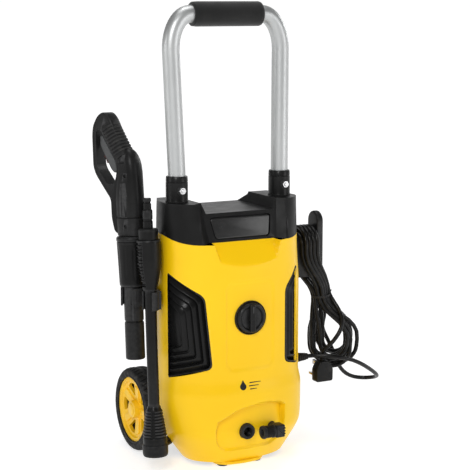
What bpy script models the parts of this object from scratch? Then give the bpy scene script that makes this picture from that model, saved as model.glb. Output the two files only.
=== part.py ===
"""Upright electric pressure washer: two-wheeled shell, U handle, trigger gun, lance and wound lead.

Lengths are written in millimetres and turned into metres by MM. The body frame has X to the right,
Y to the back and Z up, with the front face at -Y. Everything hangs on one empty that centres the machine.
"""
import math

import bmesh
import bpy
from mathutils import Matrix, Vector

MM = 0.001
GAP = 0.3
WELD = 0.001
FLAT_ANGLE = 0.0005

# ---- driving dimensions -------------------------------------------------------------------
CENTRE_X = 2.5
CENTRE_Y = -12.2

HALF_WIDTH = 118.0
FRONT_DEPTH = 82.0
WIDEST_Y = -20.0
PLAN_POWER = 2.3
SPLIT_Y = 6.0
SPLIT_INSET = 5.0
SHELL_WALL = 2.6
SHELL_BOTTOM = 8.0
SHELL_TOP = 367.0
FLARE = 4.0
FLARE_TOP = 150.0
CHAMFER_TOP = 57.0
CHAMFER_INSET = 31.0
REAR_Y = 98.0
PLAN_COLUMNS = 12

SCOOP_HALF = 56.0
SCOOP_FLOOR = 336.0
POCKET_HALF = 66.0
POCKET_LOW = 46.0
POCKET_TOP = 104.0
POCKET_DEPTH = 12.0

GRILLE_BACK = -60.0
EDGE_LEAN = 0.098
LOUVRES = 4

DECK_Z = 413.0
TOWER_Z = 430.0

KNOB_Z = 248.0
KNOB_RADIUS = 25.0

WHEEL_RADIUS = 69.5
WHEEL_WIDTH = 37.0
WHEEL_OUTER_X = 127.5
WHEEL_Y = 82.0
RIM_RADIUS = 54.0
AXLE_RADIUS = 5.0

LEG_X = 92.5
LEG_Y = -28.0
TUBE_RADIUS = 14.0
HANDLE_TOP_Z = 722.0
GRIP_HALF = 63.0
GRIP_RADIUS = 19.7
COLLAR_RADIUS = 17.7
COLLAR_TOP = 471.0
STRAIGHT_TOP = 473.0
BOLT_Z = 449.0

PORT_Z = 62.0
OUTLET_X = -4.0
INLET_X = 44.0
INLET_AXIS_Y = -115.5

TILT = math.radians(3.3)
GUN_AT = (-150.0, 14.5, 274.0)
GUN_SPIN = math.radians(-60.0)
TRIGGER_PIVOT = (-22.0, 205.0)
LOCK_PIVOT = (-43.6, 226.0)
LANCE_AT = (-142.0, -35.5, 230.0)

HOOK_Y = 8.0
HOOK_HALF = 17.0
HOOK_TOP = 356.0
HOOK_BOTTOM = 284.0
HOOK_END = 190.0
PADDLE_TOP = 393.0

GLAND = (118.0, -22.0, 151.0)
GLAND_END_X = 152.0
CORD_RADIUS = 3.55
PLUG_AT = (180.0, -26.0, 124.0)

MOTOR_Y = 0.0


# ---- scene ---------------------------------------------------------------------------------
def clear_scene():
    for obj in list(bpy.data.objects):
        bpy.data.objects.remove(obj, do_unlink=True)


def new_collection(name):
    collection = bpy.data.collections.new(name)
    bpy.context.scene.collection.children.link(collection)
    return collection


clear_scene()
PARTS = new_collection("pressure_washer")
CUTTERS = new_collection("cutters")
BODY = bpy.data.objects.new("washer_frame", None)
BODY.location = (CENTRE_X * MM, CENTRE_Y * MM, 0.0)
PARTS.objects.link(BODY)


def material(name, colour, roughness, metallic=0.0):
    mat = bpy.data.materials.new(name)
    mat.use_nodes = True
    shader = mat.node_tree.nodes["Principled BSDF"]
    shader.inputs["Base Color"].default_value = (*colour, 1.0)
    shader.inputs["Roughness"].default_value = roughness
    shader.inputs["Metallic"].default_value = metallic
    return mat


YELLOW = (0.90, 0.52, 0.01)
BLACK = (0.020, 0.020, 0.022)
RUBBER = (0.012, 0.012, 0.013)
STEEL = (0.62, 0.62, 0.62)
BRASS = (0.70, 0.48, 0.16)
ALUMINIUM = (0.66, 0.66, 0.67)
COPPER = (0.62, 0.26, 0.10)


def add_object(name, mesh, colour, roughness, metallic=0.0, at=(0, 0, 0), turn=(0, 0, 0), parent=None):
    """Link a finished mesh as a named part under the frame (or under another parent)."""
    obj = bpy.data.objects.new(name, mesh)
    obj.data.materials.append(material(name + "_finish", colour, roughness, metallic))
    PARTS.objects.link(obj)
    obj.parent = parent or BODY
    obj.location = [value * MM for value in at]
    obj.rotation_euler = turn
    return obj


def add_tool(name, mesh, at=(0, 0, 0), turn=(0, 0, 0), parent=None):
    """Link a mesh as a hidden cutter or filler."""
    obj = bpy.data.objects.new(name, mesh)
    CUTTERS.objects.link(obj)
    obj.parent = parent or BODY
    obj.location = [value * MM for value in at]
    obj.rotation_euler = turn
    obj.hide_render = True
    obj.display_type = "WIRE"
    return obj


def combine(target, tool, operation):
    mod = target.modifiers.new(operation.lower() + "_" + tool.name, "BOOLEAN")
    mod.operation = operation
    mod.object = tool
    mod.solver = "EXACT"


def cut(target, *tools):
    for tool in tools:
        combine(target, tool, "DIFFERENCE")


def join(target, *tools):
    for tool in tools:
        combine(target, tool, "UNION")


def bevel(obj, width, segments=2, angle=40.0):
    mod = obj.modifiers.new("edges", "BEVEL")
    mod.width = width * MM
    mod.segments = segments
    mod.limit_method = "ANGLE"
    mod.angle_limit = math.radians(angle)


def smooth(mesh, angle=35.0):
    mesh.shade_smooth()
    mesh.set_sharp_from_angle(angle=math.radians(angle))
    return mesh


# ---- mesh makers ---------------------------------------------------------------------------
def grid_mesh(name, rows, wrap=False, caps=False):
    """Skin rows of points (mm) into a mesh: rows run upward, each row runs anticlockwise from above."""
    verts = [Vector(point) * MM for row in rows for point in row]
    count = len(rows[0])
    spans = count if wrap else count - 1
    faces = []
    for level in range(len(rows) - 1):
        for column in range(spans):
            a = level * count + column
            b = level * count + (column + 1) % count
            faces.append((a, b, b + count, a + count))
    if caps:
        top = (len(rows) - 1) * count
        faces.append(tuple(reversed(range(count))))
        faces.append(tuple(range(top, top + count)))
    mesh = bpy.data.meshes.new(name)
    mesh.from_pydata(verts, [], faces)
    mesh.update()
    return smooth(mesh)


def recalc(mesh):
    """Turn every face of a closed mesh outward."""
    bm = bmesh.new()
    bm.from_mesh(mesh)
    bmesh.ops.recalc_face_normals(bm, faces=bm.faces)
    bm.to_mesh(mesh)
    bm.free()


def box_mesh(name, low, high):
    bm = bmesh.new()
    bmesh.ops.create_cube(bm, size=1.0)
    low, high = Vector(low) * MM, Vector(high) * MM
    bmesh.ops.scale(bm, vec=high - low, verts=bm.verts)
    bmesh.ops.translate(bm, vec=(low + high) / 2, verts=bm.verts)
    mesh = bpy.data.meshes.new(name)
    bm.to_mesh(mesh)
    bm.free()
    return mesh


def cylinder_mesh(name, radius, low, high, steps=24, top_radius=None):
    """A cylinder or cone along Z from low to high."""
    bm = bmesh.new()
    bmesh.ops.create_cone(bm, cap_ends=True, segments=steps, radius1=radius * MM,
                          radius2=(radius if top_radius is None else top_radius) * MM,
                          depth=(high - low) * MM)
    bmesh.ops.translate(bm, vec=(0, 0, (low + high) / 2 * MM), verts=bm.verts)
    mesh = bpy.data.meshes.new(name)
    bm.to_mesh(mesh)
    bm.free()
    return smooth(mesh)


def turned_mesh(name, profile, ring=False):
    """The profile (radius, height) in mm of a turned piece, running down its outer side."""
    verts = [(radius * MM, 0.0, height * MM) for radius, height in profile]
    edges = [(i, i + 1) for i in range(len(verts) - 1)]
    if ring:
        edges.append((len(verts) - 1, 0))
    mesh = bpy.data.meshes.new(name)
    mesh.from_pydata(verts, edges, [])
    return mesh


def add_screw(obj, steps):
    mod = obj.modifiers.new("turn", "SCREW")
    mod.steps = steps
    mod.render_steps = steps
    mod.use_merge_vertices = True
    mod.merge_threshold = WELD * MM
    mod.use_smooth_shade = True


def turned(name, profile, colour, roughness, metallic=0.0, at=(0, 0, 0), turn=(0, 0, 0), steps=32,
           ring=False, parent=None):
    obj = add_object(name, turned_mesh(name, profile, ring), colour, roughness, metallic, at, turn, parent)
    add_screw(obj, steps)
    return obj


def poly_curve(name, points, cyclic):
    curve = bpy.data.curves.new(name, "CURVE")
    spline = curve.splines.new("POLY")
    spline.points.add(len(points) - 1)
    for target, point in zip(spline.points, points):
        target.co = (*(Vector(point) * MM), 1.0)
    spline.use_cyclic_u = cyclic
    return curve


def curve_mesh(name, curve):
    """The curve's surface as a closed mesh, with its caps welded on."""
    holder = bpy.data.objects.new(name + "_curve", curve)
    bpy.context.scene.collection.objects.link(holder)
    graph = bpy.context.evaluated_depsgraph_get()
    mesh = bpy.data.meshes.new_from_object(holder.evaluated_get(graph))
    bpy.data.objects.remove(holder, do_unlink=True)
    bm = bmesh.new()
    bm.from_mesh(mesh)
    bmesh.ops.remove_doubles(bm, verts=bm.verts, dist=WELD * MM)
    bmesh.ops.dissolve_limit(bm, angle_limit=FLAT_ANGLE, verts=bm.verts, edges=bm.edges)
    bm.to_mesh(mesh)
    bm.free()
    mesh.name = name
    mesh.materials.clear()
    return mesh


def extruded_mesh(name, outline, low, high):
    """A flat outline in XY (mm), filled as a 2D curve and extruded from low to high along Z."""
    curve = poly_curve(name, [(x, y, 0.0) for x, y in outline], True)
    curve.dimensions = "2D"
    curve.fill_mode = "BOTH"
    curve.extrude = (high - low) / 2 * MM
    mesh = curve_mesh(name, curve)
    mesh.transform(Matrix.Translation((0, 0, (low + high) / 2 * MM)))
    recalc(mesh)
    return smooth(mesh)


def plate_xz(name, outline, half):
    """A flat outline in XZ (mm), extruded half to each side along Y."""
    mesh = extruded_mesh(name, outline, -half, half)
    mesh.transform(Matrix.Rotation(math.pi / 2, 4, "X"))
    return mesh


def plate_yz(name, outline, low, high):
    """A flat outline in YZ (mm), extruded from low to high along X."""
    mesh = extruded_mesh(name, outline, low, high)
    mesh.transform(Matrix(((0, 0, 1, 0), (1, 0, 0, 0), (0, 1, 0, 0), (0, 0, 0, 1))))
    return mesh


def wire_mesh(name, points, radius, sides=8, fill=True):
    """A round bar or tube through the points (mm), made as a bevelled curve and turned into a mesh."""
    curve = poly_curve(name, points, False)
    curve.dimensions = "3D"
    curve.bevel_depth = radius * MM
    curve.bevel_resolution = (sides - 4) // 2
    curve.use_fill_caps = fill
    return smooth(curve_mesh(name, curve))


def smooth_path(points, per_span):
    """Points along a smooth curve (Catmull-Rom) through the given ones."""
    ends = [Vector(points[0]) * 2 - Vector(points[1]), Vector(points[-1]) * 2 - Vector(points[-2])]
    knots = [ends[0]] + [Vector(point) for point in points] + [ends[1]]
    path = []
    for i in range(1, len(knots) - 2):
        a, b, c, d = knots[i - 1:i + 3]
        for step in range(per_span):
            t = step / per_span
            path.append(0.5 * (2 * b + (c - a) * t + (2 * a - 5 * b + 4 * c - d) * t * t
                               + (3 * b - a - 3 * c + d) * t ** 3))
    path.append(knots[-2])
    return path


def chaikin(points, rounds):
    """Round the corners of an open line, keeping its ends."""
    for _ in range(rounds):
        rounded = [points[0]]
        for a, b in zip(points, points[1:]):
            rounded.append(tuple(0.75 * p + 0.25 * q for p, q in zip(a, b)))
            rounded.append(tuple(0.25 * p + 0.75 * q for p, q in zip(a, b)))
        rounded.append(points[-1])
        points = rounded
    return points


def ease(low, high, value):
    t = min(1.0, max(0.0, (value - low) / (high - low)))
    return t * t * (3 - 2 * t)


# ---- the body's shape ----------------------------------------------------------------------
def plan_growth(z):
    """How far the plan stands outside its usual outline at height z: a flared foot, then a chamfer."""
    growth = FLARE * (1 - ease(FLARE_TOP - 25, FLARE_TOP, z))
    if z < CHAMFER_TOP:
        share = (CHAMFER_TOP - z) / (CHAMFER_TOP - SHELL_BOTTOM)
        growth -= CHAMFER_INSET * share ** 1.5
    return growth


def front_edge_y(x, growth):
    share = min(1.0, abs(x) / (HALF_WIDTH + growth))
    return WIDEST_Y - (FRONT_DEPTH + growth) * (1 - share ** PLAN_POWER) ** (1 / PLAN_POWER)


def pocket_top(x):
    return POCKET_TOP - 13.0 * (abs(x) / POCKET_HALF) ** 3


def relief(x, y, z):
    """Push the front face in for the scoop under the top cover and for the connector pocket."""
    if z > SCOOP_FLOOR:
        slope = (z - SCOOP_FLOOR) / (SHELL_TOP - SCOOP_FLOOR)
        side = 1 - ease(SCOOP_HALF - 12 + 8 * slope, SCOOP_HALF + 8 * slope, abs(x))
        floor = -102.0 + 25.0 * slope
        y += side * max(0.0, floor - y)
    if POCKET_LOW < z < pocket_top(x) + 3:
        side = 1 - ease(POCKET_HALF - 5, POCKET_HALF, abs(x))
        lip = 1 - ease(pocket_top(x) - 1, pocket_top(x) + 3, z)
        y += side * lip * POCKET_DEPTH * (z - POCKET_LOW) / (POCKET_TOP - POCKET_LOW)
    return y


def front_ring(z, columns, extra=0.0, carve=True):
    """Points of the front shell's outline at height z, from the right split round the front to the left."""
    growth = plan_growth(z) + extra
    split_x = HALF_WIDTH + growth - SPLIT_INSET
    right = [(split_x, SPLIT_Y)]
    right.append((HALF_WIDTH + growth - 0.3 * SPLIT_INSET, (SPLIT_Y + WIDEST_Y) / 2))
    for i in range(columns + 1):
        angle = math.pi / 2 * (1 - i / columns)
        x = (HALF_WIDTH + growth) * math.sin(angle) ** (2 / PLAN_POWER)
        right.append((x, front_edge_y(x, growth)))
    ring = [(x, y) for x, y in reversed(right)]
    ring = [(-x, y) for x, y in right] + ring[1:]
    if carve:
        ring = [(x, relief(x, y, z)) for x, y in ring]
    return [(x, y, z) for x, y in ring]


FRONT_LEVELS = [8, 18, 32, 46, 75, 100, 107, 125, 150, 240, 336, 367]


def front_shell():
    rows = [front_ring(z, PLAN_COLUMNS) for z in FRONT_LEVELS]
    obj = add_object("front_shell", grid_mesh("front_shell", rows), YELLOW, 0.38)
    thicken(obj, SHELL_WALL)
    return obj


def thicken(obj, wall):
    mod = obj.modifiers.new("wall", "SOLIDIFY")
    mod.thickness = wall * MM
    mod.offset = -1.0
    mod.use_rim = True


LOWER_REAR = [(112.0, 9.3), (95.0, 9.5), (87.0, 14.0), (86.0, 30.0), (85.0, 62.0), (76.0, 92.0),
              (45.0, REAR_Y), (0.0, REAR_Y + 1)]
UPPER_REAR = [(112.4, 7.6), (104.0, 23.0), (97.0, 36.0), (89.0, 50.0), (77.0, 73.0), (64.0, 92.0),
              (38.0, REAR_Y), (0.0, REAR_Y + 1)]
REAR_LEVELS = [8, 20, 37, 143, 151, 160, 367]


def rear_ring(z, inset=0.0):
    blend = ease(143, 160, z)
    tuck = max(0.0, (CHAMFER_TOP - 20 - z) / 29) ** 1.5 * 12
    pairs = zip(LOWER_REAR, UPPER_REAR)
    half = [tuple(a + (b - a) * blend for a, b in zip(low, high)) for low, high in pairs]
    move = tuck + inset
    half = [(max(0.0, x - move * (x > 0)), y - move * ease(10, 60, y)) for x, y in half]
    half = chaikin(half, 1)
    ring = half + [(-x, y) for x, y in reversed(half[:-1])]
    return [(x, y, z) for x, y in ring]


def rear_shell():
    rows = [rear_ring(z) for z in REAR_LEVELS]
    obj = add_object("rear_shell", grid_mesh("rear_shell", rows), BLACK, 0.5)
    thicken(obj, SHELL_WALL)
    axle_hole = add_tool("axle_hole", cylinder_mesh("axle_hole", AXLE_RADIUS + 0.5, -120, 120),
                         (0, WHEEL_Y, WHEEL_RADIUS), (0, math.pi / 2, 0))
    cut(obj, axle_hole)
    return obj


def envelope(name, extra, low, high):
    """A closed solid a little larger than the body, used to fit outside pieces against it."""
    def front_at(level):
        return front_ring(level, PLAN_COLUMNS, extra, carve=False)

    def rear_at(level):
        return rear_ring(level, -extra)

    rows = []
    for z in [low] + sorted(set(FRONT_LEVELS + REAR_LEVELS)) + [high]:
        ring = ring_between(FRONT_LEVELS, front_at, z) + ring_between(REAR_LEVELS, rear_at, z)
        rows.append([(x, y, z) for x, y, _ in ring])
    return add_tool(name, grid_mesh(name, rows, wrap=True, caps=True))


def ring_between(levels, ring_at, z):
    """The ring at height z of a surface that runs straight between the rings at its levels."""
    z = min(max(z, levels[0]), levels[-1])
    upper = next(index for index, level in enumerate(levels) if level >= z)
    lower = max(0, upper - 1)
    span = levels[upper] - levels[lower]
    share = (z - levels[lower]) / span if span else 0.0
    pairs = zip(ring_at(levels[lower]), ring_at(levels[upper]))
    return [tuple(a + (b - a) * share for a, b in zip(low, high)) for low, high in pairs]


# ---- air grilles ---------------------------------------------------------------------------
GRILLE_SIDES = {
    "left": dict(sign=-1, top=321.0, apex=287.0, floor=168.0),
    "right": dict(sign=1, top=309.0, apex=277.0, floor=166.0),
}


def grille_frame(side, inset, back=GRILLE_BACK):
    """Corners of the opening set in by inset: back top, front top, front bottom, back bottom.

    They lie in the plane square to the body's corner: w runs to the front, then z.
    """
    top, apex, floor = side["top"], side["apex"], side["floor"]
    slope = (apex - top) / 60.5
    top_z = top - inset * math.hypot(1.0, slope)
    front_w = 3.6 - inset * 1.005 + EDGE_LEAN * (apex - 9)
    bottom_z = floor - 17 + inset * 1.03
    upper_z = (top_z + slope * (front_w - GRILLE_BACK)) / (1 + slope * EDGE_LEAN)
    lower_z = (bottom_z + 0.25 * (front_w - GRILLE_BACK)) / (1 + 0.25 * EDGE_LEAN)
    return [(back, top_z + slope * (back - GRILLE_BACK)), (front_w - EDGE_LEAN * upper_z, upper_z),
            (front_w - EDGE_LEAN * lower_z, lower_z), (back, bottom_z + 0.25 * (back - GRILLE_BACK))]


def grille_outline(side):
    """The opening's outline, with its two front corners cut off."""
    back_top, front_top, front_low, back_low = (Vector(point) for point in grille_frame(side, 0.0))

    def towards(corner, other, distance):
        return corner + (other - corner).normalized() * distance

    return [tuple(point) for point in
            (back_low, towards(front_low, back_low, 6), towards(front_low, front_top, 6),
             towards(front_top, front_low, 8), towards(front_top, back_top, 5), back_top)]


def corner_point(w, z, sign, inset):
    """The point of the body's skin at w along the corner's tangent, set in by inset."""
    growth = plan_growth(z) - inset
    low, high = 0.0, math.pi / 2
    for _ in range(40):
        angle = (low + high) / 2
        x = -(HALF_WIDTH + growth) * math.sin(angle) ** (2 / PLAN_POWER)
        y = front_edge_y(x, growth)
        if 0.75 * x - 0.66 * y > w:
            low = angle
        else:
            high = angle
    return Vector((x * -sign, y, z))


def grille_cutter(name, side, low=-60.0, high=60.0):
    outline = grille_outline(side)
    tangent = Vector((0.75, -0.66, 0.0)).normalized()
    normal = Vector((-0.66, -0.75, 0.0)).normalized()
    scale = Vector((0.75, -0.66, 0.0)).length
    rows = []
    for depth in (low + 115, high + 115):
        row = []
        for w, z in outline:
            point = tangent * (w / scale) + normal * depth
            row.append((point.x * -side["sign"], point.y, z))
        rows.append(row)
    mesh = grid_mesh(name, rows, wrap=True, caps=True)
    recalc(mesh)
    mesh.shade_flat()
    return add_tool(name, mesh)


def grille_patch(side, inset_front, inset_back, margin):
    """A curved plate behind the skin that covers the opening with a margin round it."""
    columns, levels = 6, 4
    low, high = side["floor"] - 17 - margin, side["top"] + margin

    def sheet(inset):
        rows = []
        for level in range(levels + 1):
            z = low + (high - low) * level / levels
            row = []
            for column in range(columns + 1):
                w = -60.0 - margin + (73.2 + 2 * margin) * column / columns
                row.append(corner_point(w, z, side["sign"], inset))
            rows.append(row)
        return rows

    outer, inner = sheet(inset_front), sheet(inset_back)
    rows = []
    for front_row, back_row in zip(outer, inner):
        rows.append(list(front_row) + list(reversed(back_row)))
    mesh = grid_mesh("plate", rows, wrap=True)
    bm = bmesh.new()
    bm.from_mesh(mesh)
    count = len(rows[0])
    bm.verts.ensure_lookup_table()
    for level in (0, len(rows) - 1):
        start = level * count
        for column in range(columns):
            quad = [bm.verts[start + i] for i in
                    (column, column + 1, count - 2 - column, count - 1 - column)]
            bm.faces.new(quad)
    bm.to_mesh(mesh)
    bm.free()
    recalc(mesh)
    return mesh


def louvre_mesh(name, side, level):
    """One bent louvre: it runs down the slanted top, the front edge and the slanted floor."""
    line = grille_frame(side, 7.0 + 11.0 * level, GRILLE_BACK + 1.5)
    rows = []
    for index, (w, z) in enumerate(line):
        before = Vector(line[max(0, index - 1)])
        after = Vector(line[min(len(line) - 1, index + 1)])
        along = (after - before).normalized()
        across = Vector((along.y, -along.x))
        row = []
        for side_shift, inset in ((-1.6, 5.2), (1.6, 5.2), (2.6, 0.8), (0.6, 0.8)):
            shifted = Vector((w, z)) - across * side_shift
            row.append(corner_point(shifted.x, shifted.y, side["sign"], inset))
        rows.append(row)
    mesh = grid_mesh(name, rows, wrap=True, caps=True)
    recalc(mesh)
    mesh.shade_flat()
    return mesh


def grille(label, shell):
    side = GRILLE_SIDES[label]
    cut(shell, grille_cutter("grille_opening_" + label, side))
    mesh = grille_patch(side, SHELL_WALL + 0.5, SHELL_WALL + 2.9, 3.0)
    obj = add_object("grille_" + label, mesh, BLACK, 0.45)
    for level in range(LOUVRES):
        name = "louvre_%s_%d" % (label, level)
        join(obj, add_tool(name, louvre_mesh(name, side, level)))
    return obj


# ---- top cover -----------------------------------------------------------------------------
COVER_BOTTOM_LEVEL = SHELL_TOP + GAP
COVER_REAR = [(116.0, -2.0), (110.0, 12.0), (98.0, 40.0), (83.0, 70.0), (66.0, 92.0), (40.0, 99.0),
              (0.0, 100.0)]


def cover_ring(z, inset=0.0):
    """The cover's outline at height z: notched front between two towers that lean back."""
    lean = (z - COVER_BOTTOM_LEVEL) / (TOWER_Z - COVER_BOTTOM_LEVEL)
    front = [(0.0, -77.0 + 18 * lean + inset), (60.4 + 8 * lean - inset, -76.5 + 16 * lean + inset),
             (72.3 + 10 * lean - inset, -87.0 + 17 * lean + inset)]
    skirt = []
    start = math.asin((front[2][0] / HALF_WIDTH) ** (PLAN_POWER / 2))
    for i in range(1, 11):
        angle = start + (math.pi / 2 - start) * i / 10
        x = HALF_WIDTH * math.sin(angle) ** (2 / PLAN_POWER) - inset - 1.5 * lean
        y = front_edge_y(HALF_WIDTH * math.sin(angle) ** (2 / PLAN_POWER), 0.0)
        y = y + (inset + 17 * lean * (1 - i / 10)) * (WIDEST_Y - y) / FRONT_DEPTH * 1.0
        skirt.append((x, y))
    move = inset + 1.5 * lean
    rear = [(max(0.0, x - move * (x > 0)), y - inset * (y > 60)) for x, y in COVER_REAR]
    half = front + skirt + rear
    ring = half + [(-x, y) for x, y in reversed(half[1:-1])]
    return [(x, y, z) for x, y in ring]


def slope_cutter(name, drop):
    """Wedge that takes the cover's back down from the deck to the rear edge."""
    outline = [(30.0, 470.0), (30.0, TOWER_Z - 4.0 - drop), (112.0, 384.0 - drop), (140.0, 384.0 - drop),
               (140.0, 470.0)]
    return add_tool(name, plate_yz(name, outline, -130.0, 130.0))


def channel_cutter(name, floor, widen):
    """The lowered deck between the towers, with sloping walls."""
    low, high = 60.0 + widen, 67.0 + widen
    outline = [(-low, floor), (low, floor), (high, TOWER_Z + 0.5), (high, TOWER_Z + 20),
               (-high, TOWER_Z + 20), (-high, TOWER_Z + 0.5)]
    return add_tool(name, plate_xz(name, outline, 140.0))


def top_cover():
    rows = [cover_ring(z) for z in (COVER_BOTTOM_LEVEL, 398.0, TOWER_Z)]
    obj = add_object("top_cover", grid_mesh("top_cover", rows, wrap=True, caps=True), BLACK, 0.42)
    cut(obj, channel_cutter("deck_channel", DECK_Z, 0.0), slope_cutter("rear_slope", 0.0))
    hollow_rows = [cover_ring(z, 3.4) for z in (COVER_BOTTOM_LEVEL - 20, 396.0, TOWER_Z - 3.4)]
    hollow = add_tool("cover_hollow", grid_mesh("cover_hollow", hollow_rows, wrap=True, caps=True))
    cut(hollow, channel_cutter("inner_channel", DECK_Z - 3.4, 4.0), slope_cutter("inner_slope", 3.6))
    cut(obj, hollow)
    for label, sign in (("left", -1), ("right", 1)):
        hole = add_tool("leg_hole_" + label, cylinder_mesh("leg_hole", TUBE_RADIUS + 0.7, 400, 460, 28),
                        (sign * LEG_X, LEG_Y, 0))
        cut(obj, hole)
    pocket = add_tool("panel_pocket", panel_mesh("panel_pocket", 0.6, -1.6, 12.0))
    cut(obj, pocket)
    return obj


def panel_frame():
    """Origin, across and up directions, and outward normal of the cover's sloping front."""
    low = Vector((0.0, -77.0, COVER_BOTTOM_LEVEL))
    high = Vector((0.0, -77.0 + 18, TOWER_Z))
    up = (high - low).normalized()
    return low, Vector((1, 0, 0)), up, Vector((1, 0, 0)).cross(up)


def panel_mesh(name, grow, back, front):
    """Rounded trapezoid plate on the cover's front between two depths along its normal."""
    origin, across, up, normal = panel_frame()
    corners = [(-47.0, 6.5), (47.0, 6.5), (53.5, 39.5), (-53.5, 39.5)]
    outline = []
    radius = 5.0
    for i, (x, h) in enumerate(corners):
        previous = Vector(corners[i - 1]) - Vector((x, h))
        following = Vector(corners[(i + 1) % 4]) - Vector((x, h))
        centre = Vector((x, h))
        for t in (0.0, 0.33, 0.67, 1.0):
            a = centre + previous.normalized() * radius * (1 - t)
            b = centre + following.normalized() * radius * t
            outline.append(a * (1 - t) + b * t)
    middle = Vector((0.0, 23.0))
    outline = [p + (p - middle).normalized() * grow for p in outline]
    rows = []
    for depth in (back, front):
        rows.append([origin + across * p.x + up * p.y + normal * depth for p in outline])
    mesh = grid_mesh(name, rows, wrap=True, caps=True)
    recalc(mesh)
    mesh.shade_flat()
    return mesh


# ---- handle --------------------------------------------------------------------------------
def handle_y(z):
    return LEG_Y + max(0.0, z - STRAIGHT_TOP) * 0.038


def handle_path():
    right = [(LEG_X, LEG_Y, 388.0), (LEG_X, LEG_Y, STRAIGHT_TOP), (LEG_X + 4.8, handle_y(648), 648.0)]
    top_x, side_x, low_z = GRIP_HALF + 1.0, LEG_X + 5.4, 667.0
    for i in range(6):
        angle = math.pi / 2 * i / 5
        x = top_x + (side_x - top_x) * math.cos(angle)
        z = low_z + (HANDLE_TOP_Z - low_z) * math.sin(angle)
        right.append((x, handle_y(z), z))
    return right + [(-x, y, z) for x, y, z in reversed(right)]


def handle():
    tube = add_object("handle_tube", wire_mesh("handle_tube", handle_path(), TUBE_RADIUS, 12, fill=False),
                      STEEL, 0.32, 1.0)
    recalc(tube.data)
    thicken(tube, 1.6)
    bore = TUBE_RADIUS + GAP
    grip_profile = [(bore, GRIP_HALF), (GRIP_RADIUS - 2, GRIP_HALF), (GRIP_RADIUS, GRIP_HALF - 4),
                    (GRIP_RADIUS, 4 - GRIP_HALF), (GRIP_RADIUS - 2, -GRIP_HALF), (bore, -GRIP_HALF)]
    turned("handle_grip", grip_profile, RUBBER, 0.85, 0.0, (0, handle_y(HANDLE_TOP_Z), HANDLE_TOP_Z),
           (0, math.pi / 2, 0), 24, ring=True)
    for label, sign in (("left", -1), ("right", 1)):
        handle_clamp(label, sign, tube)


def handle_clamp(label, sign, tube):
    """Collar round the leg on top of the tower, with the bolt and nut that hold the tube."""
    bore = TUBE_RADIUS + 0.8
    low = TOWER_Z + GAP
    profile = [(bore, COLLAR_TOP), (COLLAR_RADIUS - 0.8, COLLAR_TOP), (COLLAR_RADIUS, COLLAR_TOP - 0.8),
               (COLLAR_RADIUS, low + 1.6), (COLLAR_RADIUS + 0.6, low), (bore, low)]
    at = (sign * LEG_X, LEG_Y, 0)
    collar = turned("collar_" + label, profile, BLACK, 0.5, 0.0, at, (0, 0, 0), 24, ring=True)
    hole = add_tool("bolt_hole_" + label, cylinder_mesh("bolt_hole", 3.4, -30, 30, 12),
                    (sign * LEG_X, LEG_Y, BOLT_Z), (math.pi / 2, 0, 0))
    cut(collar, hole)
    cut(tube, hole)
    face = COLLAR_RADIUS + GAP
    head = [(0, -face), (5.0, -face), (5.0, -face - 3.2), (3.6, -face - 4.2), (0, -face - 4.2)]
    shank = add_tool("shank_" + label, cylinder_mesh("shank", 3.0, -face - 1, face + 7.0, 10),
                     (sign * LEG_X, LEG_Y, BOLT_Z), (math.pi / 2, 0, 0))
    bolt = turned("handle_bolt_" + label, head, STEEL, 0.3, 1.0, (sign * LEG_X, LEG_Y, BOLT_Z),
                  (math.pi / 2, 0, 0), 12)
    join(bolt, shank)
    nut = add_tool("nut_" + label, cylinder_mesh("nut", 5.6, face, face + 4.6, 6),
                   (sign * LEG_X, LEG_Y, BOLT_Z), (math.pi / 2, 0, 0))
    join(bolt, nut)


# ---- wheels --------------------------------------------------------------------------------
def wheel(label, sign):
    centre_x = sign * (WHEEL_OUTER_X - WHEEL_WIDTH / 2)
    turn = (0, sign * math.pi / 2, 0)
    pivot = bpy.data.objects.new("wheel_pivot_" + label, None)
    PARTS.objects.link(pivot)
    pivot.parent = BODY
    pivot.location = (centre_x * MM, WHEEL_Y * MM, WHEEL_RADIUS * MM)
    pivot.rotation_euler = turn
    half = WHEEL_WIDTH / 2
    tyre = [(RIM_RADIUS + GAP, half), (WHEEL_RADIUS - 6, half), (WHEEL_RADIUS - 1.6, half - 3),
            (WHEEL_RADIUS, half - 8), (WHEEL_RADIUS, 8 - half), (WHEEL_RADIUS - 1.6, 3 - half),
            (WHEEL_RADIUS - 6, -half), (RIM_RADIUS + GAP, -half)]
    turned("tyre_" + label, tyre, RUBBER, 0.8, 0.0, steps=30, ring=True, parent=pivot)
    bore = AXLE_RADIUS + 0.3
    hub_profile = [(bore, half - 1), (14.0, half - 1), (15.0, 6.0), (46.0, half - 6), (48.0, half - 3),
                   (RIM_RADIUS, half - 3), (RIM_RADIUS, 3 - half), (50.0, 3 - half), (46.0, half - 12),
                   (15.0, -1.0), (14.0, 1 - half), (bore, 1 - half)]
    hub = turned("hub_" + label, hub_profile, YELLOW, 0.4, 0.0, steps=24, ring=True, parent=pivot)
    for index in range(5):
        angle = 2 * math.pi * (index + 0.25) / 5
        name = "hub_window_%s_%d" % (label, index)
        outline = [(19.0, -2.5), (42.0, -15.0), (45.0, 0.0), (42.0, 15.0), (19.0, 2.5)]
        tool = add_tool(name, extruded_mesh(name, outline, -40, 40), turn=(0, 0, angle), parent=pivot)
        cut(hub, tool)
    cap = [(0, half + 1.5), (8.0, half + 1.2), (10.5, half), (10.5, half - GAP - 0.4), (0, half - GAP - 0.4)]
    turned("axle_cap_" + label, cap, BLACK, 0.4, 0.0, steps=28, parent=pivot)


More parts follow.
